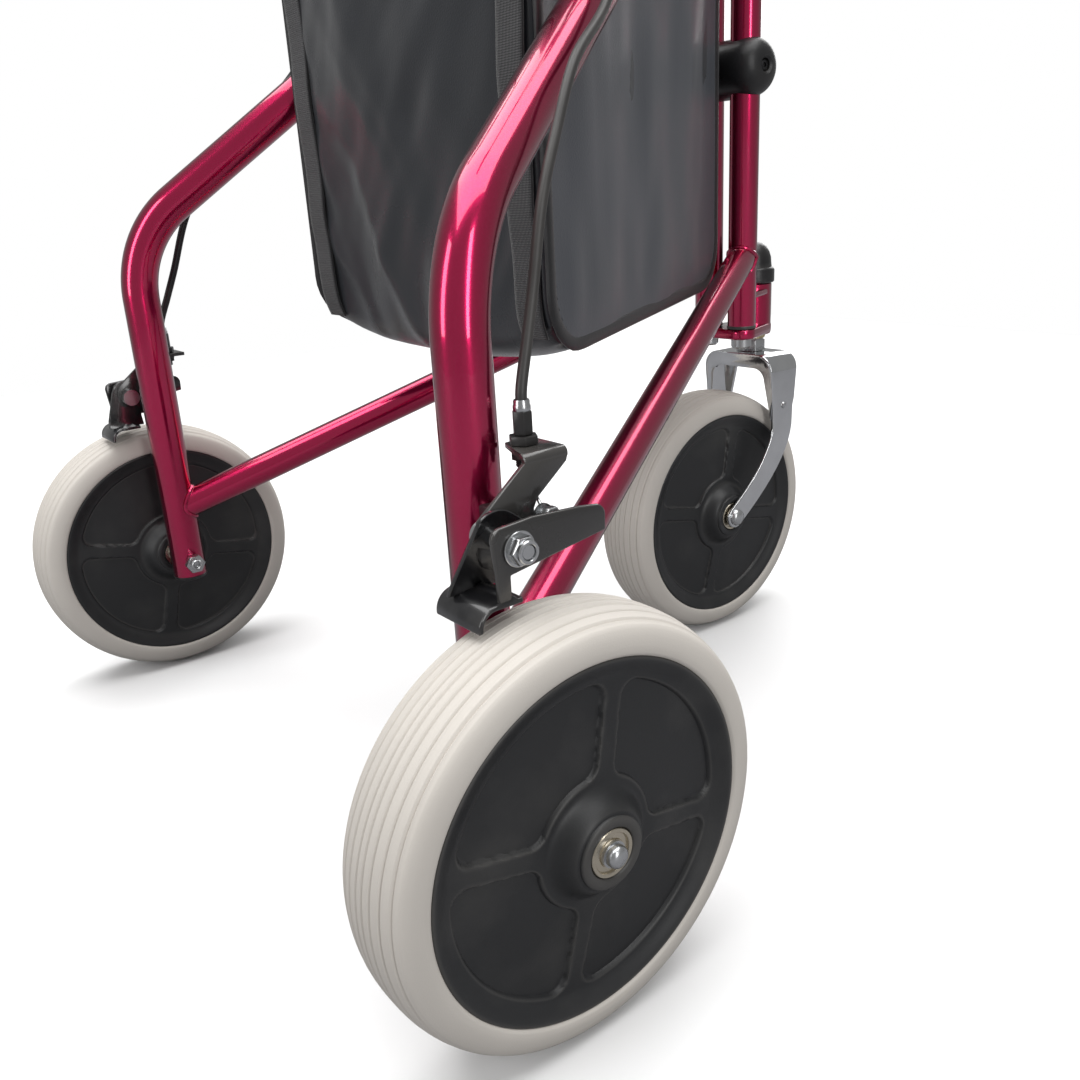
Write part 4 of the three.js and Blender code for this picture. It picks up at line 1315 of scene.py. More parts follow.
    def build(self) -> None:
        """Makes everything at this corner."""
        self.axle()
        self.bracket()
        self.lever()
        self.pivot()
        self.cable_end()


def merge_into(bm: BMesh, other: BMesh) -> None:
    """Adds another mesh's geometry to a mesh.

    Args:
        bm: the mesh to add to.
        other: the mesh to add, which is freed.
    """
    bmesh.ops.recalc_face_normals(other, faces=other.faces)
    holder = bpy.data.meshes.new("holder")
    other.to_mesh(holder)
    other.free()
    bm.from_mesh(holder)
    bpy.data.meshes.remove(holder)


# --- Handles ---


@dataclass
class Handle:
    """Handlebar, grip, brake loop, height knob and cable of one side, in the side frame's coordinates."""

    side: Side
    grip_z: float = 880.0
    bottom_z: float = 570.0
    bend: float = 55.0
    tube_radius: float = 10.6
    post_along: float = 253.7
    housing_along: float = 314.0
    housing_length: float = 32.0
    grip_along: float = 348.0
    grip_end: float = 470.0
    pivot_along: float = 330.0
    pivot_z: float = 856.0
    loop_z: float = 827.0
    loop_end: float = 462.0
    loop_half: float = 13.0
    knob_z: float = 684.0

    def place(self, body: str, *nodes: str) -> Place:
        """A place in this side frame's coordinates on a body."""
        word = self.side.word
        return Place(LAYOUT.side_frame(self.side), f"{body}_{word}", tuple(f"{node}_{word}"
                                                                           for node in nodes))

    def bar(self) -> None:
        """Makes the handlebar tube."""
        corners = [Vector((0, self.post_along, self.bottom_z)), Vector((0, self.post_along, self.grip_z)),
                   Vector((0, self.grip_end - 4, self.grip_z))]
        bm = start_mesh()
        sweep(bm, bent_path(corners, self.bend, 26), self.tube_radius, 44)
        finish_piece(f"tube_handle_{self.side.word}", bm, PAINT, self.place("handle", "handlebar"))

    def grip(self) -> None:
        """Makes the grip: swelling palm, rings at both ends and fine cross ribs."""
        length = self.grip_end - self.grip_along
        profile = [(self.tube_radius + 0.2, 0.0), (17.4, 0.0), (18.6, 1.2), (18.6, 4.0), (17.2, 5.6),
                   (15.6, 7.0)]
        steps = 150
        for step in range(steps + 1):
            share = step / steps
            swell = 0.9 * math.sin(math.pi * share) ** 2
            rib = 0.42 * max(0.0, math.sin(share * math.pi * 34)) if 0.08 < share < 0.9 else 0.0
            profile.append((15.1 + swell + rib, 7.5 + (length - 14) * share))
        profile += [(15.6, length - 6), (15.4, length - 3.2), (14.0, length - 1.2), (11, length - 0.2),
                    (0, length)]
        bm = turned(profile, 60, "Y", move_to(0, self.grip_along, self.grip_z))
        finish_piece(f"grip_rubber_{self.side.word}", bm, GRIP, self.place("handle", "grip"), 50)

    def housing(self) -> None:
        """Makes the lever housing clamped round the handlebar."""
        bm = start_mesh()
        inner, outer = self.tube_radius + 0.2, 16.4
        turn_profile(bm, ring_profile(inner, outer, 0, self.housing_length, 1.6), 56, "Y")
        bm.transform(move_to(0, self.housing_along, self.grip_z))
        lug = start_mesh()
        z = self.pivot_z
        outline = [(318, z + 12), (318, z - 3), *arc((324, z - 4), 6, 180, 270, 5),
                   *arc((336, z - 4), 6, 270, 360, 5), (342, z + 12)]
        plate(lug, outline, -7.5, 7.5)
        ease_edges(lug, 1.4, 3, 30)
        merge_into(bm, lug)
        clamp = start_mesh()
        cuboid(clamp, (9, 10, 7), (13.5, self.housing_along + 16, self.grip_z - 12))
        ease_edges(clamp, 1.0, 3, 30)
        merge_into(bm, clamp)
        finish_piece(f"lever_clamp_{self.side.word}", bm, PLASTIC, self.place("handle", "lever_housing"), 35)
        screw = HexNut(6.5, 3.0, 2.2).build(17.5)
        screw.transform(move_to(0, self.housing_along + 16, self.grip_z - 12))
        finish_piece(f"clamp_screw_{self.side.word}", screw, ZINC, self.place("handle"))
        boot = [(2.6, -13), (3.6, -13), (4.2, -10), (4.2, -4), (5.2, -2), (5.2, 0.4), (2.6, 0.4), (2.6, -13)]
        bm = turned(boot, 28, "Y", move_to(0, 318, self.pivot_z))
        finish_piece(f"cable_boot_{self.side.word}", bm, PLASTIC, self.place("handle"))

    def loop(self) -> None:
        """Makes the brake loop on its cross pin."""
        w = self.loop_half
        corners = [Vector((1 - w, self.pivot_along, self.pivot_z)),
                   Vector((-w, self.pivot_along + 24, self.loop_z)),
                   Vector((-w, self.loop_end, self.loop_z)), Vector((w, self.loop_end, self.loop_z)),
                   Vector((w, self.pivot_along + 24, self.loop_z)),
                   Vector((w - 1, self.pivot_along, self.pivot_z))]
        bm = start_mesh()
        sweep(bm, bent_path(corners, 12, 10), 4.0, 20, upright=Vector((0.1, 1, 0.3)))
        for end in (-1, 1):
            eye = turned([(0, 7.8), (6, 7.8), (6.8, 8.6), (6.8, 15.6), (6, 16.4), (0, 16.4)], 32)
            eye.transform(move_to(0, self.pivot_along, self.pivot_z) @ Matrix.Diagonal((end, 1, 1, 1)))
            merge_into(bm, eye)
        finish_piece(f"loop_{self.side.word}", bm, PLASTIC, self.place("hand_brake", "brake_loop"))

    def knob(self) -> None:
        """Makes the lobed height knob and the boss that its screw runs in."""
        word = self.side.word
        centre = move_to(0, self.post_along, self.knob_z)
        boss = turned([(4.2, 11), (9.5, 11), (9.5, 14.5), (8.4, 15.6), (4.2, 15.6), (4.2, 11)], 36, "X",
                      centre)
        finish_piece(f"knob_boss_{word}", boss, PAINT, self.place("frame"))
        lobes = []
        for step in range(90):
            angle = 2 * math.pi * step / 90
            radius = 17.2 + 1.7 * math.cos(5 * angle)
            lobes.append((radius * math.cos(angle), radius * math.sin(angle)))
        bm = start_mesh()
        plate(bm, lobes, 24, 36.5)
        ease_edges(bm, 2.2, 4, 60)
        merge_into(bm, turned([(0, 11.5), (4, 11.5), (4, 16), (9, 16.4), (10, 24.5), (0, 24.5)], 40))
        merge_into(bm, turned([(0, 35), (10.5, 35), (10.5, 37.2), (9.4, 38.6), (0, 38.8)], 40))
        bm.transform(centre)
        finish_piece(f"knob_star_{word}", bm, PLASTIC, self.place("knob", "height_knob"))

    def cable(self) -> None:
        """Makes the brake cable along its route from the adjuster up to the lever housing."""
        brake = RearBrake(self.side)
        adjuster = Vector((LAYOUT.leg_x + brake.adjuster_x, LAYOUT.wheel.y + brake.adjuster_y, 0))
        corner = adjuster - LAYOUT.hinge
        splay = LAYOUT.splay
        start_out = corner.x * math.cos(splay) - corner.y * math.sin(splay)
        start_along = corner.x * math.sin(splay) + corner.y * math.cos(splay)
        route = [
            (start_out, start_along, 275.2), (start_out, start_along - 0.3, 281), (22.5, 422, 300),
            (22.3, 414, 319), (22, 400, 355), (22, 383, 382), (21.5, 361, 410), (21, 322, 437),
            (20.5, 296, 470), (20, 285, 520), (19, 282, 600), (18.5, 283, 660), (17, 286, 720),
            (11, 290, 780), (4, 291, 825), (0, 300, 853), (0, 309, self.pivot_z), (0, 317.6, self.pivot_z),
        ]
        bm = start_mesh()
        sweep(bm, smooth_path([Vector(point) for point in route], 10), 2.5, 16)
        word = self.side.word
        place = Place(LAYOUT.side_frame(self.side), "", (f"brake_cable_{word}",))
        piece = finish_piece(f"cable_{word}", bm, SHEATH, place)
        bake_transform(piece)
        clip = turned(ring_profile(12.9, 14.6, 600, 609, 0.5), 48, "Z", move_to(0, self.post_along, 0))
        finish_piece(f"cable_band_{word}", clip, PLASTIC, self.place("frame"))
        hook = start_mesh()
        sweep(hook, bent_path([Vector((6, 264, 604.5)), Vector((19, 282, 604.5))], 0, 1), 3.9, 16)
        finish_piece(f"cable_hook_{word}", hook, PLASTIC, self.place("frame"))

    def build(self) -> None:
        """Makes everything on this handle."""
        self.bar()
        self.grip()
        self.housing()
        self.loop()
        self.knob()
        self.cable()


# --- Head and caster ---


@dataclass
class Head:
    """The head tube with its lugs, cap and hinge clamps, measured from the stem's axis."""

    hinge_x: float = 17.5
    hinge_y: float = 32.0
    bottom: float = 240.0
    top: float = 281.0
    clamp_heights: tuple[float, float] = (438.0, 545.0)

    def place(self, *nodes: str) -> Place:
        """A place on the head that stands for some of its nodes."""
        return Place(LAYOUT.middle(), "head", nodes)

    def tube(self) -> None:
        """Makes the head tube, its bushing and the welded lugs."""
        profile = [(12.7, self.bottom), (15.2, self.bottom), (16, self.bottom + 0.8), (16, self.top - 0.8),
                   (15.2, self.top), (12.7, self.top), (12.7, self.bottom)]
        finish_piece("tube_head", turned(profile, 64, "Z"), PAINT, self.place("head_tube"))
        bush = ring_profile(6.5, 12.4, self.bottom + 1, self.top - 1, 0.6)
        finish_piece("bush_stem", turned(bush, 40, "Z"), PLASTIC, self.place("stem_bushing"))
        for low, high, ring, name in ((self.bottom + 1, 248.8, 11.6, "lower"), (272, 277, 10.4, "upper")):
            bm = start_mesh()
            plate(bm, self.lug_outline(ring), low, high, "XY")
            ease_edges(bm, 1.6, 3, 40)
            finish_piece(f"lug_{name}", bm, PAINT, self.place(f"head_lug_{name}"))

    def lug_outline(self, ring: float) -> Outline:
        """The lug's outline round the head tube and both hinge tubes.

        Args:
            ring: its radius round a hinge tube.

        Returns:
            The outline's points.
        """
        x, y = self.hinge_x, self.hinge_y
        return [*arc((0, 0), ring + 4.8, 200, 340, 20), *arc((x, y), ring, -20, 90, 14),
                *arc((-x, y), ring, 90, 200, 14)]

    def cap(self) -> None:
        """Makes the dome cap over the stem."""
        profile = [(12, self.top + 0.3), (17.2, self.top + 0.3), (18, self.top + 1.2), (18, 291), (17, 292.6),
                   (15.8, 293.2), (15.4, 296), (15, 301), (13.6, 305.5), (11, 309.4), (7.5, 312),
                   (3.5, 313.2), (0, 313.5)]
        finish_piece("cap_stem", turned(profile, 64, "Z"), PLASTIC, self.place("head_cap"))

    def pins(self) -> None:
        """Makes the two hinge pins' heads below the lower lug."""
        for side in Side:
            bm = turned([(0, 233.5), (6.5, 233.5), (8, 235), (8, 240.6), (5.5, 240.6), (5.5, 262), (0, 262)],
                        32, "Z", move_to(side.value * self.hinge_x, self.hinge_y, 0))
            finish_piece(f"pin_{side.word}", bm, ZINC, self.place(f"hinge_pin_{side.word}"))

    def clamp(self, name: str, z: float) -> None:
        """Makes one hinge clamp: a capsule round both hinge tubes with a sunk screw in each end.

        Args:
            name: the clamp's name.
            z: its height.
        """
        half, radius, ease = 38.0, 20.5, 17.0
        dome = []
        for step in range(19):
            turn = math.pi / 2 * step / 18
            reach = radius * math.cos(turn) ** 0.8 if step < 18 else 0.0
            dome.append((reach, half - ease + ease * math.sin(turn) ** 0.9))
        profile = [(reach, -along) for reach, along in reversed(dome)] + dome
        bm = turned(profile, 96)
        body = object_from("clamp_body", bm)
        cups = start_mesh()
        for side in Side:
            cup = turned([(0, half - 5), (4.4, half - 5), (4.6, half - 1.6), (6.2, half - 0.4),
                          (7.4, half + 1.5), (7.4, half + 6), (0, half + 6)], 40)
            cup.transform(side.mirror)
            merge_into(cups, cup)
        bmesh.ops.recalc_face_normals(cups, faces=cups.faces)
        cutter = object_from("clamp_cups", cups)
        bm = combined(body, cutter, "DIFFERENCE")
        bm.transform(move_to(0, self.hinge_y, z))
        finish_piece(f"clamp_{name}", bm, PLASTIC, self.place(f"hinge_clamp_{name}"), 40)
        for side in Side:
            head = turned([(0, half - 6.5), (4.0, half - 6.5), (4.0, half - 3.6), (3.3, half - 2.6),
                           (1.7, half - 2.4), (1.6, half - 3.9), (0, half - 3.9)], 32)
            head.transform(move_to(0, self.hinge_y, z) @ side.mirror)
            bmesh.ops.recalc_face_normals(head, faces=head.faces)
            finish_piece(f"clamp_screw_{name}_{side.word}", head, ADJUSTER, self.place())

    def build(self) -> None:
        """Makes the whole head."""
        self.tube()
        self.cap()
        self.pins()
        for name, z in zip(("lower", "upper"), self.clamp_heights):
            self.clamp(name, z)


@dataclass
class Caster:
    """The caster fork with its stem and axle, measured from the stem's axis."""

    trail: float = 56.0
    axle_z: float = 100.0
    crown: float = 226.0
    outer: float = 36.0
    inner: float = 33.0

    def place(self, *nodes: str) -> Place:
        """A place on the caster that stands for some of its nodes."""
        return Place(LAYOUT.middle(), "caster", nodes)

    def band(self) -> Object:
        """The sheet's front outline, an upside-down U, extruded front to back."""
        top = self.crown
        o, i = self.outer, self.inner
        outline = [(-o, 80), *arc((14 - o, top - 14), 14, 180, 90, 12), *arc((o - 14, top - 14), 14, 90, 0,
                                                                             12), (o, 80),
                   (i, 80), *arc((i - 11, top - 14), 11, 0, 90, 12), *arc((11 - i, top - 14), 11, 90, 180,
                                                                          12), (-i, 80)]
        bm = start_mesh()
        plate(bm, outline, -90, 40, "XY")
        bm.transform(Matrix.Rotation(math.pi / 2, 4, "X"))
        bmesh.ops.recalc_face_normals(bm, faces=bm.faces)
        return object_from("fork_band", bm)

    def profile(self) -> Object:
        """The fork's side outline, extruded across."""
        y, z = self.trail, self.axle_z
        front = [(-17, self.crown + 4), (-15.5, 206), (-12.5, 186), (-12, 166)]
        rear = [(12, 166), (13, 186), (16, 206), (17.5, self.crown + 4)]
        start, bend, end = Vector((-12, 166)), Vector((-8, 134)), Vector((y - 5.2, z - 7.3))
        sweep_down = [quadratic(start, bend, end, step / 10) for step in range(1, 11)]
        start, bend, end = Vector((y + 4.6, z + 7.6)), Vector((20, 136)), Vector((12, 166))
        sweep_up = [quadratic(start, bend, end, step / 10) for step in range(0, 10)]
        outline = [*front, *sweep_down, *arc((y, z), 9, 236, 400, 14), *sweep_up, *rear]
        bm = start_mesh()
        plate(bm, outline, -60, 60)
        bmesh.ops.recalc_face_normals(bm, faces=bm.faces)
        return object_from("fork_profile", bm)

    def fork(self) -> None:
        """Makes the stamped fork with its rolled edges."""
        band = self.band()
        cutter = self.profile()
        bm = combined(band, cutter, "INTERSECT")
        bmesh.ops.remove_doubles(bm, verts=bm.verts, dist=0.01)
        bmesh.ops.dissolve_limit(bm, angle_limit=math.radians(1), verts=bm.verts, edges=bm.edges)
        ease_edges(bm, 1.2, 3, 50)
        finish_piece("fork_sheet", bm, CHROME, self.place("fork"), 35)
        for sign, name in ((1, "rear"), (-1, "front")):
            self.flange(sign, name)

    def flange(self, sign: int, name: str) -> None:
        """Makes one rolled edge of the crown and the upper arms.

        Args:
            sign: 1 for the rear edge, -1 for the front one.
            name: the edge's name.
        """
        top, o = self.crown - 0.4, self.outer - 0.4
        i = o - 8.0
        outline = [*arc((14 - o, top - 14), 14, 180, 90, 14), *arc((o - 14, top - 14), 14, 90, 0, 14),
                   (o, 188), (o - 2.6, 172), *arc((i - 10, top - 21), 10, 0, 90, 14),
                   *arc((10 - i, top - 21), 10, 90, 180, 14), (2.6 - o, 172), (-o, 188)]
        bm = start_mesh()
        plate(bm, outline, 0.0, 3.0, "XZ")
        for axis in (178.0, 184.0, 190.0, 196.0, 202.0, 208.0):
            geom = [*bm.verts, *bm.edges, *bm.faces]
            bmesh.ops.bisect_plane(bm, geom=geom, dist=1e-4, plane_co=(0, 0, axis), plane_no=(0, 0, 1))
        ease_edges(bm, 1.3, 4, 50)
        low = min(vert.co.y for vert in bm.verts)
        for vert in bm.verts:
            rise = (vert.co.z - 166) / (self.crown - 166)
            vert.co.y = sign * (vert.co.y - low + 9.0 + 5.3 * rise)
        finish_piece(f"fork_flange_{name}", bm, CHROME, self.place(), 50)

    def hardware(self) -> None:
        """Makes the stem, its nut, the axle bolt and the arm rivets."""
        top = self.crown
        stem = [(0, 216), (7, 216), (9, 217.5), (9, 221.6), (6, 221.6), (6, 286), (0, 288)]
        finish_piece("stem", turned(stem, 36, "Z"), ZINC, self.place("fork_stem"))
        bm = HexNut(20.5, 9.5).build(top + 0.2)
        bm.transform(Matrix.Rotation(-math.pi / 2, 4, "Y"))
        merge_into(bm, turned([(6, top + 9.7), (10.2, top + 9.7), (10.6, top + 10.4), (10.2, top + 11),
                               (6, top + 11)],
                              40, "Z"))
        finish_piece("nut_stem", bm, ZINC, self.place("stem_nut"))
        brass = turned(ring_profile(6.4, 11.8, top + 10.9, top + 14.2, 0.6), 48, "Z")
        finish_piece("washer_stem", brass, GOLD_ZINC, self.place())
        out = self.outer
        half = [(4, out - 4.6), (4, out + 0.1), (6.4, out + 0.1), (6.8, out + 0.9), (6.0, out + 2.6),
                (3.8, out + 3.9), (0, out + 4.4)]
        profile = [(radius, -along) for radius, along in reversed(half)] + half
        bm = turned(profile, 40)
        bm.transform(move_to(0, self.trail, self.axle_z))
        finish_piece("axle_bolt_front", bm, ZINC, self.place("front_axle"))
        bm = start_mesh()
        for end in (-1, 1):
            spacer = turned(ring_profile(4.2, 7.6, 31.9, 32.9, 0.1), 32)
            spacer.transform(Matrix.Diagonal((end, 1, 1, 1)))
            merge_into(bm, spacer)
        bm.transform(move_to(0, self.trail, self.axle_z))
        finish_piece("axle_spacers_front", bm, ZINC, self.place())
        bm = start_mesh()
        for end in (-1, 1):
            rivet = turned([(0, out - 2), (2.9, out - 2), (2.9, out + 0.2), (2.3, out + 1.2),
                            (0, out + 1.6)], 24)
            rivet.transform(move_to(0, 0, 184) @ Matrix.Diagonal((end, 1, 1, 1)))
            merge_into(bm, rivet)
        finish_piece("arm_rivets", bm, ZINC, self.place())

    def build(self) -> None:
        """Makes the fork and what is fixed to it."""
        self.fork()
        self.hardware()


def quadratic(start: Vector, bend: Vector, end: Vector, share: float) -> tuple[float, float]:
    """A point on a quadratic curve.

    Args:
        start: the curve's start.
        bend: its control point.
        end: its end.
        share: how far along, from 0 to 1.

    Returns:
        The point's two coordinates.
    """
    point = start.lerp(bend, share).lerp(bend.lerp(end, share), share)
    return point.x, point.y


# --- Folding brace ---


@dataclass
class FoldingBrace:
    """Two links across the walker that fold forwards with the side frames."""

    link_z: float = 594.0
    thickness: float = 4.0
    half_width: float = 8.0
    pivot_in: float = 24.0
    post_along: float = 253.7

    def pivot(self, side: Side) -> Vector:
        """Where a link turns on its bracket."""
        return joint_place(f"brace_fold_{side.word}")

    def links(self) -> None:
        """Makes both links with their rivets, and the latch on the upper one."""
        for side in Side:
            word = side.word
            low = self.link_z + (self.thickness + 0.3 if side is Side.RIGHT else 0)
            pivot = self.pivot(side)
            length = abs(pivot.x)
            bm = start_mesh()
            outline = [*arc((0, 0), self.half_width, 90, 270, 14), *arc((length, 0), self.half_width, -90,
                                                                        90, 14)]
            plate(bm, outline, low, low + self.thickness, "XY")
            ease_edges(bm, 0.8, 3, 40)
            matrix = move_to(pivot.x, pivot.y, 0) @ Matrix.Diagonal((-side.value, 1, 1, 1))
            finish_piece(f"link_{word}", bm, ENAMEL, Place(matrix, f"brace_{word}", (f"brace_link_{word}",)))
        low = self.link_z + 2 * self.thickness + 0.6
        profile = [(0, low), (13, low), (14.6, low + 1.4), (15, low + 3), (14.2, low + 8), (14.8, low + 11.2),
                   (13, low + 13.4), (6, low + 13.9), (0, low + 13.6)]
        matrix = move_to(0, self.pivot(Side.RIGHT).y, 0)
        finish_piece("latch", turned(profile, 60, "Z"), PLASTIC, Place(matrix, "brace_right",
                                                                       ("brace_latch",)))
        rivet = turned([(0, self.link_z - 2), (5, self.link_z - 2), (6, self.link_z - 0.8),
                        (6, self.link_z + 0.2), (0, self.link_z + 0.2)], 32, "Z")
        finish_piece("rivet_latch", rivet, ZINC, Place(matrix, "brace_left"))

    def brackets(self) -> None:
        """Makes the bracket on each post, its strap round the post and the link's pin."""
        for side in Side:
            word = side.word
            matrix = LAYOUT.side_frame(side) @ move_to(0, self.post_along, 0)
            top = self.link_z - 0.3
            bm = start_mesh()
            outline = [(-11.5, -8), *arc((-self.pivot_in, 0), 8, 270, 90, 12), (-11.5, 8)]
            plate(bm, outline, top - 8, top, "XY")
            ease_edges(bm, 1.2, 3, 40)
            merge_into(bm, turned(ring_profile(12.75, 15.2, top - 10, top + 3, 0.8), 56, "Z"))
            place = Place(matrix, f"frame_{word}", (f"brace_bracket_{word}",))
            finish_piece(f"bracket_brace_{word}", bm, PLASTIC, place)
            head = self.link_z + 2 * self.thickness
            pin = [(0, top - 2), (3.5, top - 2), (3.5, head + 0.6), (6.2, head + 0.6), (6.2, head + 1.8),
                   (4, head + 3.6), (0, head + 4)]
            bm = turned(pin, 32, "Z", move_to(-self.pivot_in, 0, 0))
            finish_piece(f"pin_brace_{word}", bm, ZINC, Place(matrix, f"frame_{word}"))

    def build(self) -> None:
        """Makes the whole brace."""
        self.links()
        self.brackets()


# --- Bag ---


@dataclass
class Bag:
    """Tapered vinyl bag: stiff side panels, a slack band round them and a zipped top."""

    front_y: float = 55.0
    rear_y: float = 320.0
    front_half: float = 10.0
    rear_half: float = 134.0
    bottom: float = 274.0
    top: float = 560.0
    corner: float = 30.0
    voxel: float = 5.0
    piping: float = 4.6
    piping_flat: float = 0.5
    sag_limit: float = 17.0

    def place(self, *nodes: str) -> Place:
        """A place measured from the stem's axis, on the head."""
        return Place(LAYOUT.middle(), "head", nodes)

    def half_at(self, y: float) -> float:
        """Half the bag's width at a distance behind the stem."""
        share = (y - self.front_y) / (self.rear_y - self.front_y)
        return self.front_half + (self.rear_half - self.front_half) * share

    def panel_outline(self, inset: float = 0.0) -> Outline:
        """A side panel's outline in (rearwards, height), drawn in by an inset."""
        f, r = self.front_y + inset, self.rear_y - inset
        b, t = self.bottom + inset, self.top - inset
        c = self.corner
        rise = 10.0
        outline = [(f, t), (f, b + rise + c), *arc((f + c, b + rise + c), c, 180, 262, 8)]
        outline += [*arc((r - c, b + c), c, 268, 360, 10), (r, t)]
        return outline

    def shell(self) -> Object:
        """The bag's closed outer shape before it sags."""
        bm = start_mesh()
        plate(bm, self.panel_outline(), -1, 1)
        for vert in bm.verts:
            vert.co.x *= self.half_at(vert.co.y)
        bmesh.ops.recalc_face_normals(bm, faces=bm.faces)
        piece = object_from("bag_shell", bm)
        remesh = piece.modifiers.new("even", "REMESH")
        remesh.mode = "VOXEL"
        remesh.voxel_size = self.voxel
        bake_modifiers(piece)
        return piece

    def stiffness(self, point: Vector) -> float:
        """How firmly a point is held: 1 at seams and the top, less inside the panels, 0 where slack.

        Args:
            point: the point, in millimetres from the stem's axis.

        Returns:
            The share by which it is held.
        """
        half = self.half_at(point.y)
        on_panel = smoothstep((abs(point.x) - half + 9) / 6)
        top_hold = smoothstep((point.z - self.top + 22) / 12)
        seam = self.seam_distance(point.y, point.z)
        near_seam = 1 - smoothstep((seam - 3) / 10)
        return max(top_hold, on_panel * max(0.45, near_seam))

    def seam_distance(self, y: float, z: float) -> float:
        """Distance from a place on a panel to the panel's edge."""
        c = self.corner
        dy = max(self.front_y + c - y, y - self.rear_y + c, 0)
        dz = max(self.bottom + c - z, 0)
        if dy > 0 and dz > 0:
            return max(0.0, c - math.hypot(dy, dz))
        return min(y - self.front_y, self.rear_y - y, z - self.bottom)

    def simulate(self, piece: Object) -> None:
        """Lets the slack cloth grow, hang and wrinkle between the seams.

        Args:
            piece: the shell, in metres.
        """
        holds = piece.vertex_groups.new(name="holds")
        slack = piece.vertex_groups.new(name="slack")
        for vert in piece.data.vertices:
            firmness = self.stiffness(self.in_bag(vert.co))
            holds.add([vert.index], firmness, "REPLACE")
            slack.add([vert.index], 1 - firmness, "REPLACE")
        cloth = piece.modifiers.new("cloth", "CLOTH")
        settings = cloth.settings
        settings.quality = 5
        settings.mass = 0.35
        settings.tension_stiffness = 18
        settings.compression_stiffness = 18
        settings.shear_stiffness = 6
        settings.bending_stiffness = 0.6
        settings.air_damping = 3
        settings.vertex_group_mass = "holds"
        settings.pin_stiffness = 2.0
        settings.vertex_group_shrink = "slack"
        settings.shrink_min = 0.0
        settings.shrink_max = -0.075
        settings.use_pressure = True
        settings.uniform_pressure_force = 0.6
        cloth.collision_settings.use_collision = False
        rest = [vert.co.copy() for vert in piece.data.vertices]
        scene = bpy.context.scene
        for number in range(1, 31):
            scene.frame_set(number)
        bake_modifiers(piece)
        scene.frame_set(1)
        for vert, start in zip(piece.data.vertices, rest):
            move = vert.co - start
            if move.length > self.sag_limit * MM:
                vert.co = start + move.normalized() * self.sag_limit * MM

    def in_bag(self, point: Vector) -> Vector:
        """A point of the finished mesh in millimetres from the stem's axis."""
        return point / MM - Vector((0, LAYOUT.stem.y, 0))

    def crease(self, piece: Object) -> None:
        """Adds the bellies and soft folds that a hanging cloth keeps.

        Args:
            piece: the bag's body, in metres.
        """
        for vert in piece.data.vertices:
            point = self.in_bag(vert.co)
            slackness = 1 - self.stiffness(point)
            if slackness <= 0.02:
                continue
            width = self.half_at(point.y)
            across = point.x / max(width, 1)
            belly = (1 - across * across) * slackness
            rear = smoothstep((point.y - self.rear_y + 30) / 20)
            under = smoothstep((self.bottom + 40 - point.z) / 30)
            folds = noise.noise(Vector((point.x * 0.016, point.z * 0.011, 4.2))) * 6
            folds += noise.noise(Vector((point.x * 0.045 + point.z * 0.03, point.z * 0.02, 1.7))) * 2.6
            bend = 40 * noise.noise(Vector((point.x * 0.008, point.z * 0.008, 9.3)))
            for lean, gap, deep, seed in ((0.6, 0.0085, 7.0, 2.9), (-0.9, 0.0115, 4.5, 6.1)):
                line = noise.noise(Vector(((point.x + lean * point.z + bend) * gap,
                                           (point.z - lean * point.x) * 0.003, seed)))
                folds += deep * (0.35 - min(abs(line) * 2.2, 0.7))
            vert.co.y += (9.0 * belly + folds * belly) * rear * MM
            vert.co.z -= (9.0 * belly * (0.4 + 0.6 * rear)) * under * MM

    def body(self) -> Object:
        """Makes the bag's body."""
        piece = self.shell()
        piece.data.transform(Matrix.Scale(MM, 4) @ LAYOUT.middle())
        self.simulate(piece)
        self.crease(piece)
        piece.name = "bag_body"
        bm = start_mesh()
        bm.from_mesh(piece.data)
        bmesh.ops.smooth_vert(bm, verts=bm.verts, factor=0.35, use_axis_x=True, use_axis_y=True,
                              use_axis_z=True)
        bmesh.ops.recalc_face_normals(bm, faces=bm.faces)
        bm.to_mesh(piece.data)
        bm.free()
        finer = piece.modifiers.new("finer", "SUBSURF")
        finer.levels = 1
        finer.render_levels = 1
        bake_modifiers(piece)
        # The body takes the darker copy of the bag's vinyl: painted shade.
        dress(piece, SHADED_VINYL, self.place("bag"), 60)
        return piece

    def panels(self) -> None:
        """Makes the stiff side panels that stand just proud of the body, and the binding round them."""
        for side in Side:
            bm = self.panel_sheet(side)
            self.lay_on_side(bm, side, 0.4)
            # The panels take the lighter copy of the bag's vinyl: painted light.
            finish_piece(f"bag_panel_{side.word}", bm, LIT_PANEL_VINYL, self.place(), 60)
            edge = [Vector((0.4, y, z)) for y, z in self.panel_outline(3.6)]
            stations = smooth_path(densify(edge, 12.0), 2)
            bm = start_mesh()
            sweep(bm, stations, self.piping, 20, upright=Vector((1, 0.01, 0.02)))
            for vert in bm.verts:
                vert.co.x *= self.piping_flat
            self.lay_on_side(bm, side, 0.8)
            finish_piece(f"bag_piping_{side.word}", bm, BINDING, self.place())
            self.stitches(side)

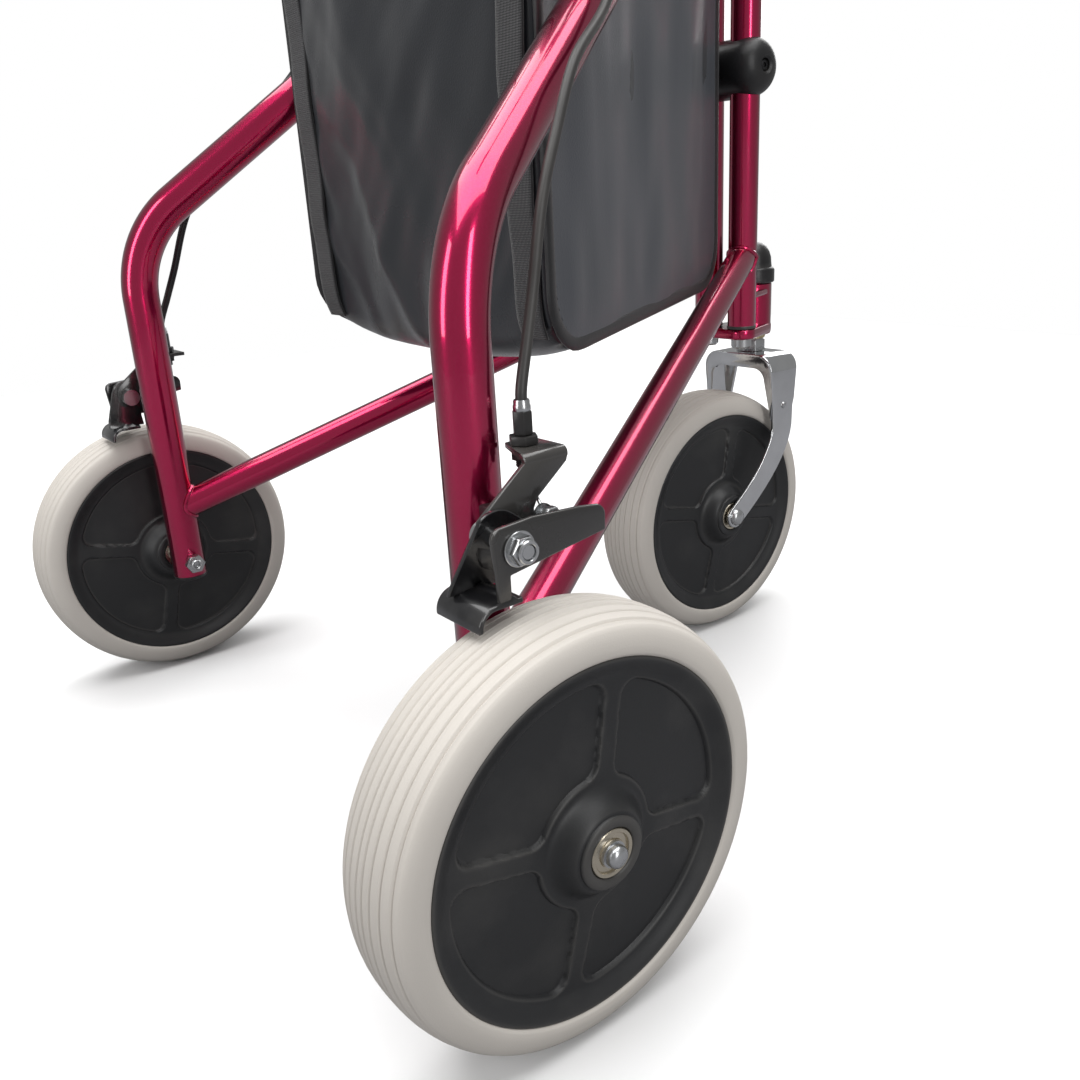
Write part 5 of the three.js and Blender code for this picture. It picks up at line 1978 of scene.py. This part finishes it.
    def panel_sheet(self, side: Side) -> BMesh:
        """A side panel as a finely divided sheet with the soft waves of stretched vinyl.

        Args:
            side: which side of the bag.

        Returns:
            The panel in its own plane.
        """
        bm = start_mesh()
        plate(bm, self.panel_outline(2.0), 0.0, 2.0)
        spans = ((Vector((0, 1, 0)), self.front_y, self.rear_y), (Vector((0, 0, 1)), self.bottom, self.top))
        for axis, low, high in spans:
            count = int((high - low) / 7.0)
            for step in range(1, count):
                at = low + (high - low) * step / count
                geom = [*bm.verts, *bm.edges, *bm.faces]
                bmesh.ops.bisect_plane(bm, geom=geom, dist=1e-4, plane_co=axis * at, plane_no=axis)
        for vert in bm.verts:
            hold = smoothstep(self.seam_distance(vert.co.y, vert.co.z) / 28)
            hold *= smoothstep((self.top - vert.co.z) / 30)
            wave = noise.noise(Vector((vert.co.y * 0.021, vert.co.z * 0.0045, 3.1 * side.value)))
            wave += 0.35 * noise.noise(Vector((vert.co.y * 0.055, vert.co.z * 0.016, 7.7 * side.value)))
            vert.co.x += 5.0 * wave * hold
        return bm

    def lay_on_side(self, bm: BMesh, side: Side, lift: float) -> None:
        """Moves flat geometry onto the slanting side of the bag.

        Args:
            bm: geometry in the panel's own plane, x counted outwards.
            side: which side of the bag.
            lift: how far outside the body it lies.
        """
        for vert in bm.verts:
            vert.co.x = side.value * (self.half_at(vert.co.y) + vert.co.x + lift)

    def stitches(self, side: Side) -> None:
        """Makes the line of stitches just inside the binding.

        Args:
            side: which side of the bag.
        """
        line = densify([Vector((0, y, z)) for y, z in self.panel_outline(6.5)], 3.2)
        bm = start_mesh()
        for start, end in zip(line[::2], line[1::2]):
            middle = (start + end) / 2
            aim = (end - start).to_track_quat("Z", "Y").to_matrix().to_4x4()
            stretch = Matrix.Diagonal((0.32, 0.32, (end - start).length * 0.46, 1))
            bmesh.ops.create_icosphere(bm, subdivisions=1, radius=1.0, matrix=Matrix.Translation(middle)
                                       @ aim @ stretch)
        self.lay_on_side(bm, side, 2.6)
        finish_piece(f"bag_stitches_{side.word}", bm, TAPE, self.place())

    def strap(self, name: str, path: list[Vector], width: float, across: Vector, place: Place) -> Object:
        """Makes a flat strap of webbing along a path.

        Args:
            name: the strap's name.
            path: points along its middle.
            width: its width.
            across: the direction of its width.
            place: where it belongs.

        Returns:
            The strap.
        """
        line = densify(path, 4.0)
        bm = start_mesh()
        bmesh.ops.create_grid(bm, x_segments=8, y_segments=len(line) - 1, size=0.5)
        uv = bm.loops.layers.uv.new("weave")
        for vert in bm.verts:
            row = round((vert.co.y + 0.5) * (len(line) - 1))
            for loop in vert.link_loops:
                loop[uv].uv = ((vert.co.x + 0.5) * width, row * 4.0)
            vert.co = line[row] + across * (vert.co.x * width)
        piece = finish_piece(name, bm, TAPE, place, 60)
        thick = piece.modifiers.new("thick", "SOLIDIFY")
        thick.thickness = 1.3 * MM
        thick.offset = 1.0
        bake_modifiers(piece)
        return piece

    def webbing(self, body: Object) -> None:
        """Makes the straps down the rear wall, laid on the cloth.

        Args:
            body: the bag's finished body.
        """
        tree = BVHTree.FromObject(body, bpy.context.evaluated_depsgraph_get())
        for side in Side:
            path = []
            for step in range(46):
                z = self.top - 4 - step * 6.2
                if z < self.bottom + 6:
                    break
                x = side.value * (self.rear_half - 17)
                origin = Vector((x, self.rear_y + 80, z)) * MM + Vector((0, LAYOUT.stem.y * MM, 0))
                hit = tree.ray_cast(origin, Vector((0, -1, 0)))[0]
                if hit:
                    path.append(Vector((x, hit.y / MM - LAYOUT.stem.y + 0.9, z)))
            eased = [path[0], *[(a + b * 2 + c) / 4 for a, b, c in zip(path, path[1:], path[2:])], path[-1]]
            self.strap(f"bag_strap_{side.word}", eased, 22, Vector((1, 0, 0)), self.place())

    def zip(self) -> None:
        """Makes the zip along the top: tape, a row of teeth and the slider."""
        z = self.top + 1.2
        start, end = Vector((0, self.front_y + 22, z)), Vector((0, self.rear_y - 18, z))
        self.strap("bag_zip_tape", [start, end], 26, Vector((1, 0, 0)), self.place())
        bm = start_mesh()
        count = int((end.y - start.y) / 2.4)
        for index in range(count):
            shift = 0.9 if index % 2 else -0.9
            cuboid(bm, (3.4, 1.5, 1.8), (shift, start.y + index * 2.4, z + 1.8))
        finish_piece("bag_zip_teeth", bm, PLASTIC, self.place(), 30)
        bm = start_mesh()
        cuboid(bm, (9, 14, 4.2), (0, start.y + 6, z + 3))
        ease_edges(bm, 1.4, 3, 30)
        tab = start_mesh()
        cuboid(tab, (6, 24, 1.4), (0, start.y - 8, z + 4.6))
        ease_edges(tab, 0.6, 2, 30)
        merge_into(bm, tab)
        finish_piece("bag_zip_slider", bm, ZINC, self.place(), 30)

    def hangers(self) -> None:
        """Makes the four loops of webbing that hang the bag from the rails and posts."""
        frame_tubes = SideFrame(Side.LEFT)
        for side in Side:
            word = side.word
            to_middle = LAYOUT.middle().inverted() @ LAYOUT.side_frame(side)
            for label, along, radius in (("front", 92.0, 11.0), ("rear", 205.0, 11.0)):
                slope = (frame_tubes.rail_end - frame_tubes.rail_corner) / frame_tubes.post_along
                rail = to_middle @ Vector((0, along, frame_tubes.rail_corner + slope * along))
                attach_y = rail.y
                half = self.half_at(attach_y) - 3
                foot = Vector((side.value * half, attach_y, self.top - 22))
                reach = radius + 1.6
                turn = [Vector((rail.x + reach * math.cos(a), rail.y, rail.z + reach * math.sin(a)))
                        for a in (math.radians(180 - 18 * k) for k in range(11))]
                inner = Vector((side.value * half, attach_y, self.top - 2))
                low_out = Vector((side.value * (half + 3), attach_y, self.top - 24))
                ordered = turn if (turn[0] - inner).length < (turn[-1] - inner).length else turn[::-1]
                path = [foot, inner, *ordered, low_out]
                fixed = Place(LAYOUT.middle(), f"frame_{word}")
                self.strap(f"bag_hanger_{label}_{word}", path, 20, Vector((0, 1, 0)), fixed)

    def build(self) -> None:
        """Makes the bag, gives each piece made with it a mesh of its own, and adds the hangers."""
        before = set(bpy.data.objects)
        body = self.body()
        self.panels()
        self.webbing(body)
        self.zip()
        for piece in sorted(set(bpy.data.objects) - before, key=lambda item: item.name):
            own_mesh(piece)
        self.hangers()


def densify(points: list[Vector], step: float) -> list[Vector]:
    """Evenly spaced points along a line of points.

    Args:
        points: the line's points.
        step: the spacing.

    Returns:
        The spaced points, ends included.
    """
    lengths = [0.0]
    for a, b in zip(points, points[1:]):
        lengths.append(lengths[-1] + (b - a).length)
    count = max(1, round(lengths[-1] / step))
    spaced = []
    index = 0
    for number in range(count + 1):
        target = lengths[-1] * number / count
        while index < len(points) - 2 and lengths[index + 1] < target:
            index += 1
        span = max(lengths[index + 1] - lengths[index], 1e-9)
        spaced.append(points[index].lerp(points[index + 1], (target - lengths[index]) / span))
    return spaced


# --- Studio ---


@dataclass
class Studio:
    """Camera, lights and floor; lengths in metres."""

    eye: Vector = field(default_factory=lambda: Vector((-0.5492, 0.4078, 0.3557)))
    heading: Vector = field(default_factory=lambda: Vector((0.797, -0.604, 0.0)))
    pitch: float = 0.334
    roll: float = -0.055
    lens: float = 32.83
    fill: float = 0.3
    floor_half: float = 1.9

    def camera(self) -> None:
        """Sets the camera low behind the right rear wheel."""
        data = bpy.data.cameras.new("camera")
        data.lens = self.lens
        data.sensor_width = 36.0
        data.clip_start = 0.01
        camera = bpy.data.objects.new("camera", data)
        bpy.context.scene.collection.objects.link(camera)
        level = self.heading.normalized()
        ahead = level * math.cos(self.pitch) + Vector((0, 0, -math.sin(self.pitch)))
        flat_right = level.cross(Vector((0, 0, 1))).normalized()
        flat_up = flat_right.cross(ahead)
        right = flat_right * math.cos(self.roll) + flat_up * math.sin(self.roll)
        up = right.cross(ahead)
        turn = Matrix((right, up, -ahead)).transposed().to_4x4()
        camera.matrix_world = Matrix.Translation(self.eye) @ turn
        bpy.context.scene.camera = camera

    def light(self, name: str, place: tuple[float, float, float], size: tuple[float, float],
              power: float) -> None:
        """Adds a soft box aimed at the walker's middle.

        Args:
            name: the light's name.
            place: where it stands.
            size: its width and height.
            power: its power in watts.
        """
        data = bpy.data.lights.new(name, "AREA")
        data.shape = "RECTANGLE"
        data.size, data.size_y = size
        data.energy = power
        lamp = bpy.data.objects.new(name, data)
        bpy.context.scene.collection.objects.link(lamp)
        aim = Vector((0, 0, 0.35)) - Vector(place)
        turn = aim.to_track_quat("-Z", "Y").to_matrix().to_4x4()
        lamp.matrix_world = Matrix.Translation(place) @ turn

    def floor(self) -> None:
        """Lays the pale floor, which is darker in reflections so that it doesn't veil the dark finishes."""
        bm = start_mesh()
        bmesh.ops.create_grid(bm, x_segments=2, y_segments=2, size=self.floor_half)
        floor = object_from("floor", bm)
        paper = bpy.data.materials.new("floor_paper")
        paper.use_nodes = True
        sheet = Sheet(paper.node_tree)
        shader = next(node for node in paper.node_tree.nodes if node.type == "BSDF_PRINCIPLED")
        place = sheet.node("ShaderNodeTexCoord").outputs["Object"]
        pale = sheet.mix(sheet.noise(place, 3.0, 2.0), colour(0.88, 0.88, 0.88), colour(0.92, 0.92, 0.92))
        seen = sheet.node("ShaderNodeLightPath").outputs["Is Camera Ray"]
        tone = sheet.mix(seen, colour(0.22, 0.22, 0.23), pale)
        sheet.link(tone, shader, "Base Color")
        shader.inputs["Roughness"].default_value = 0.85
        floor.data.materials.append(paper)

    def world(self) -> None:
        """Fills the room with pale light."""
        world = bpy.data.worlds.new("studio")
        world.use_nodes = True
        sheet = Sheet(world.node_tree)
        background = world.node_tree.nodes["Background"]
        seen = sheet.node("ShaderNodeLightPath").outputs["Is Camera Ray"]
        sheet.link(sheet.remap(seen, 0.0, 1.0, self.fill, 1.0), background, "Strength")
        background.inputs["Color"].default_value = (1.0, 1.0, 1.0, 1.0)
        bpy.context.scene.world = world

    def build(self) -> None:
        """Sets up the studio."""
        self.camera()
        self.world()
        self.floor()
        self.light("top_box", (0.2, -0.1, 3.4), (4.2, 4.2), 190)
        self.light("right_strip", (-1.9, 0.3, 0.95), (0.35, 1.6), 11)
        self.light("left_strip", (0.1, 1.95, 1.0), (0.5, 1.6), 12)
        self.light("front_box", (0.9, -1.9, 1.3), (1.0, 1.4), 14)
        bpy.context.scene.view_settings.view_transform = "Standard"


def main() -> None:
    """Builds the walker in order, from the studio to the bag."""
    logging.basicConfig(level=logging.INFO, format="%(message)s")
    Studio().build()
    Head().build()
    Caster().build()
    Wheel().build("front", "", LAYOUT.caster_wheel(), "front_wheel")
    for side in Side:
        SideFrame(side).build()
        RearBrake(side).build()
        Wheel().build("rear", f"_{side.word}", LAYOUT.rear_wheel(side), f"rear_wheel_{side.word}")
        Handle(side).build()
    FoldingBrace().build()
    Bag().build()


if __name__ == "__main__":
    main()
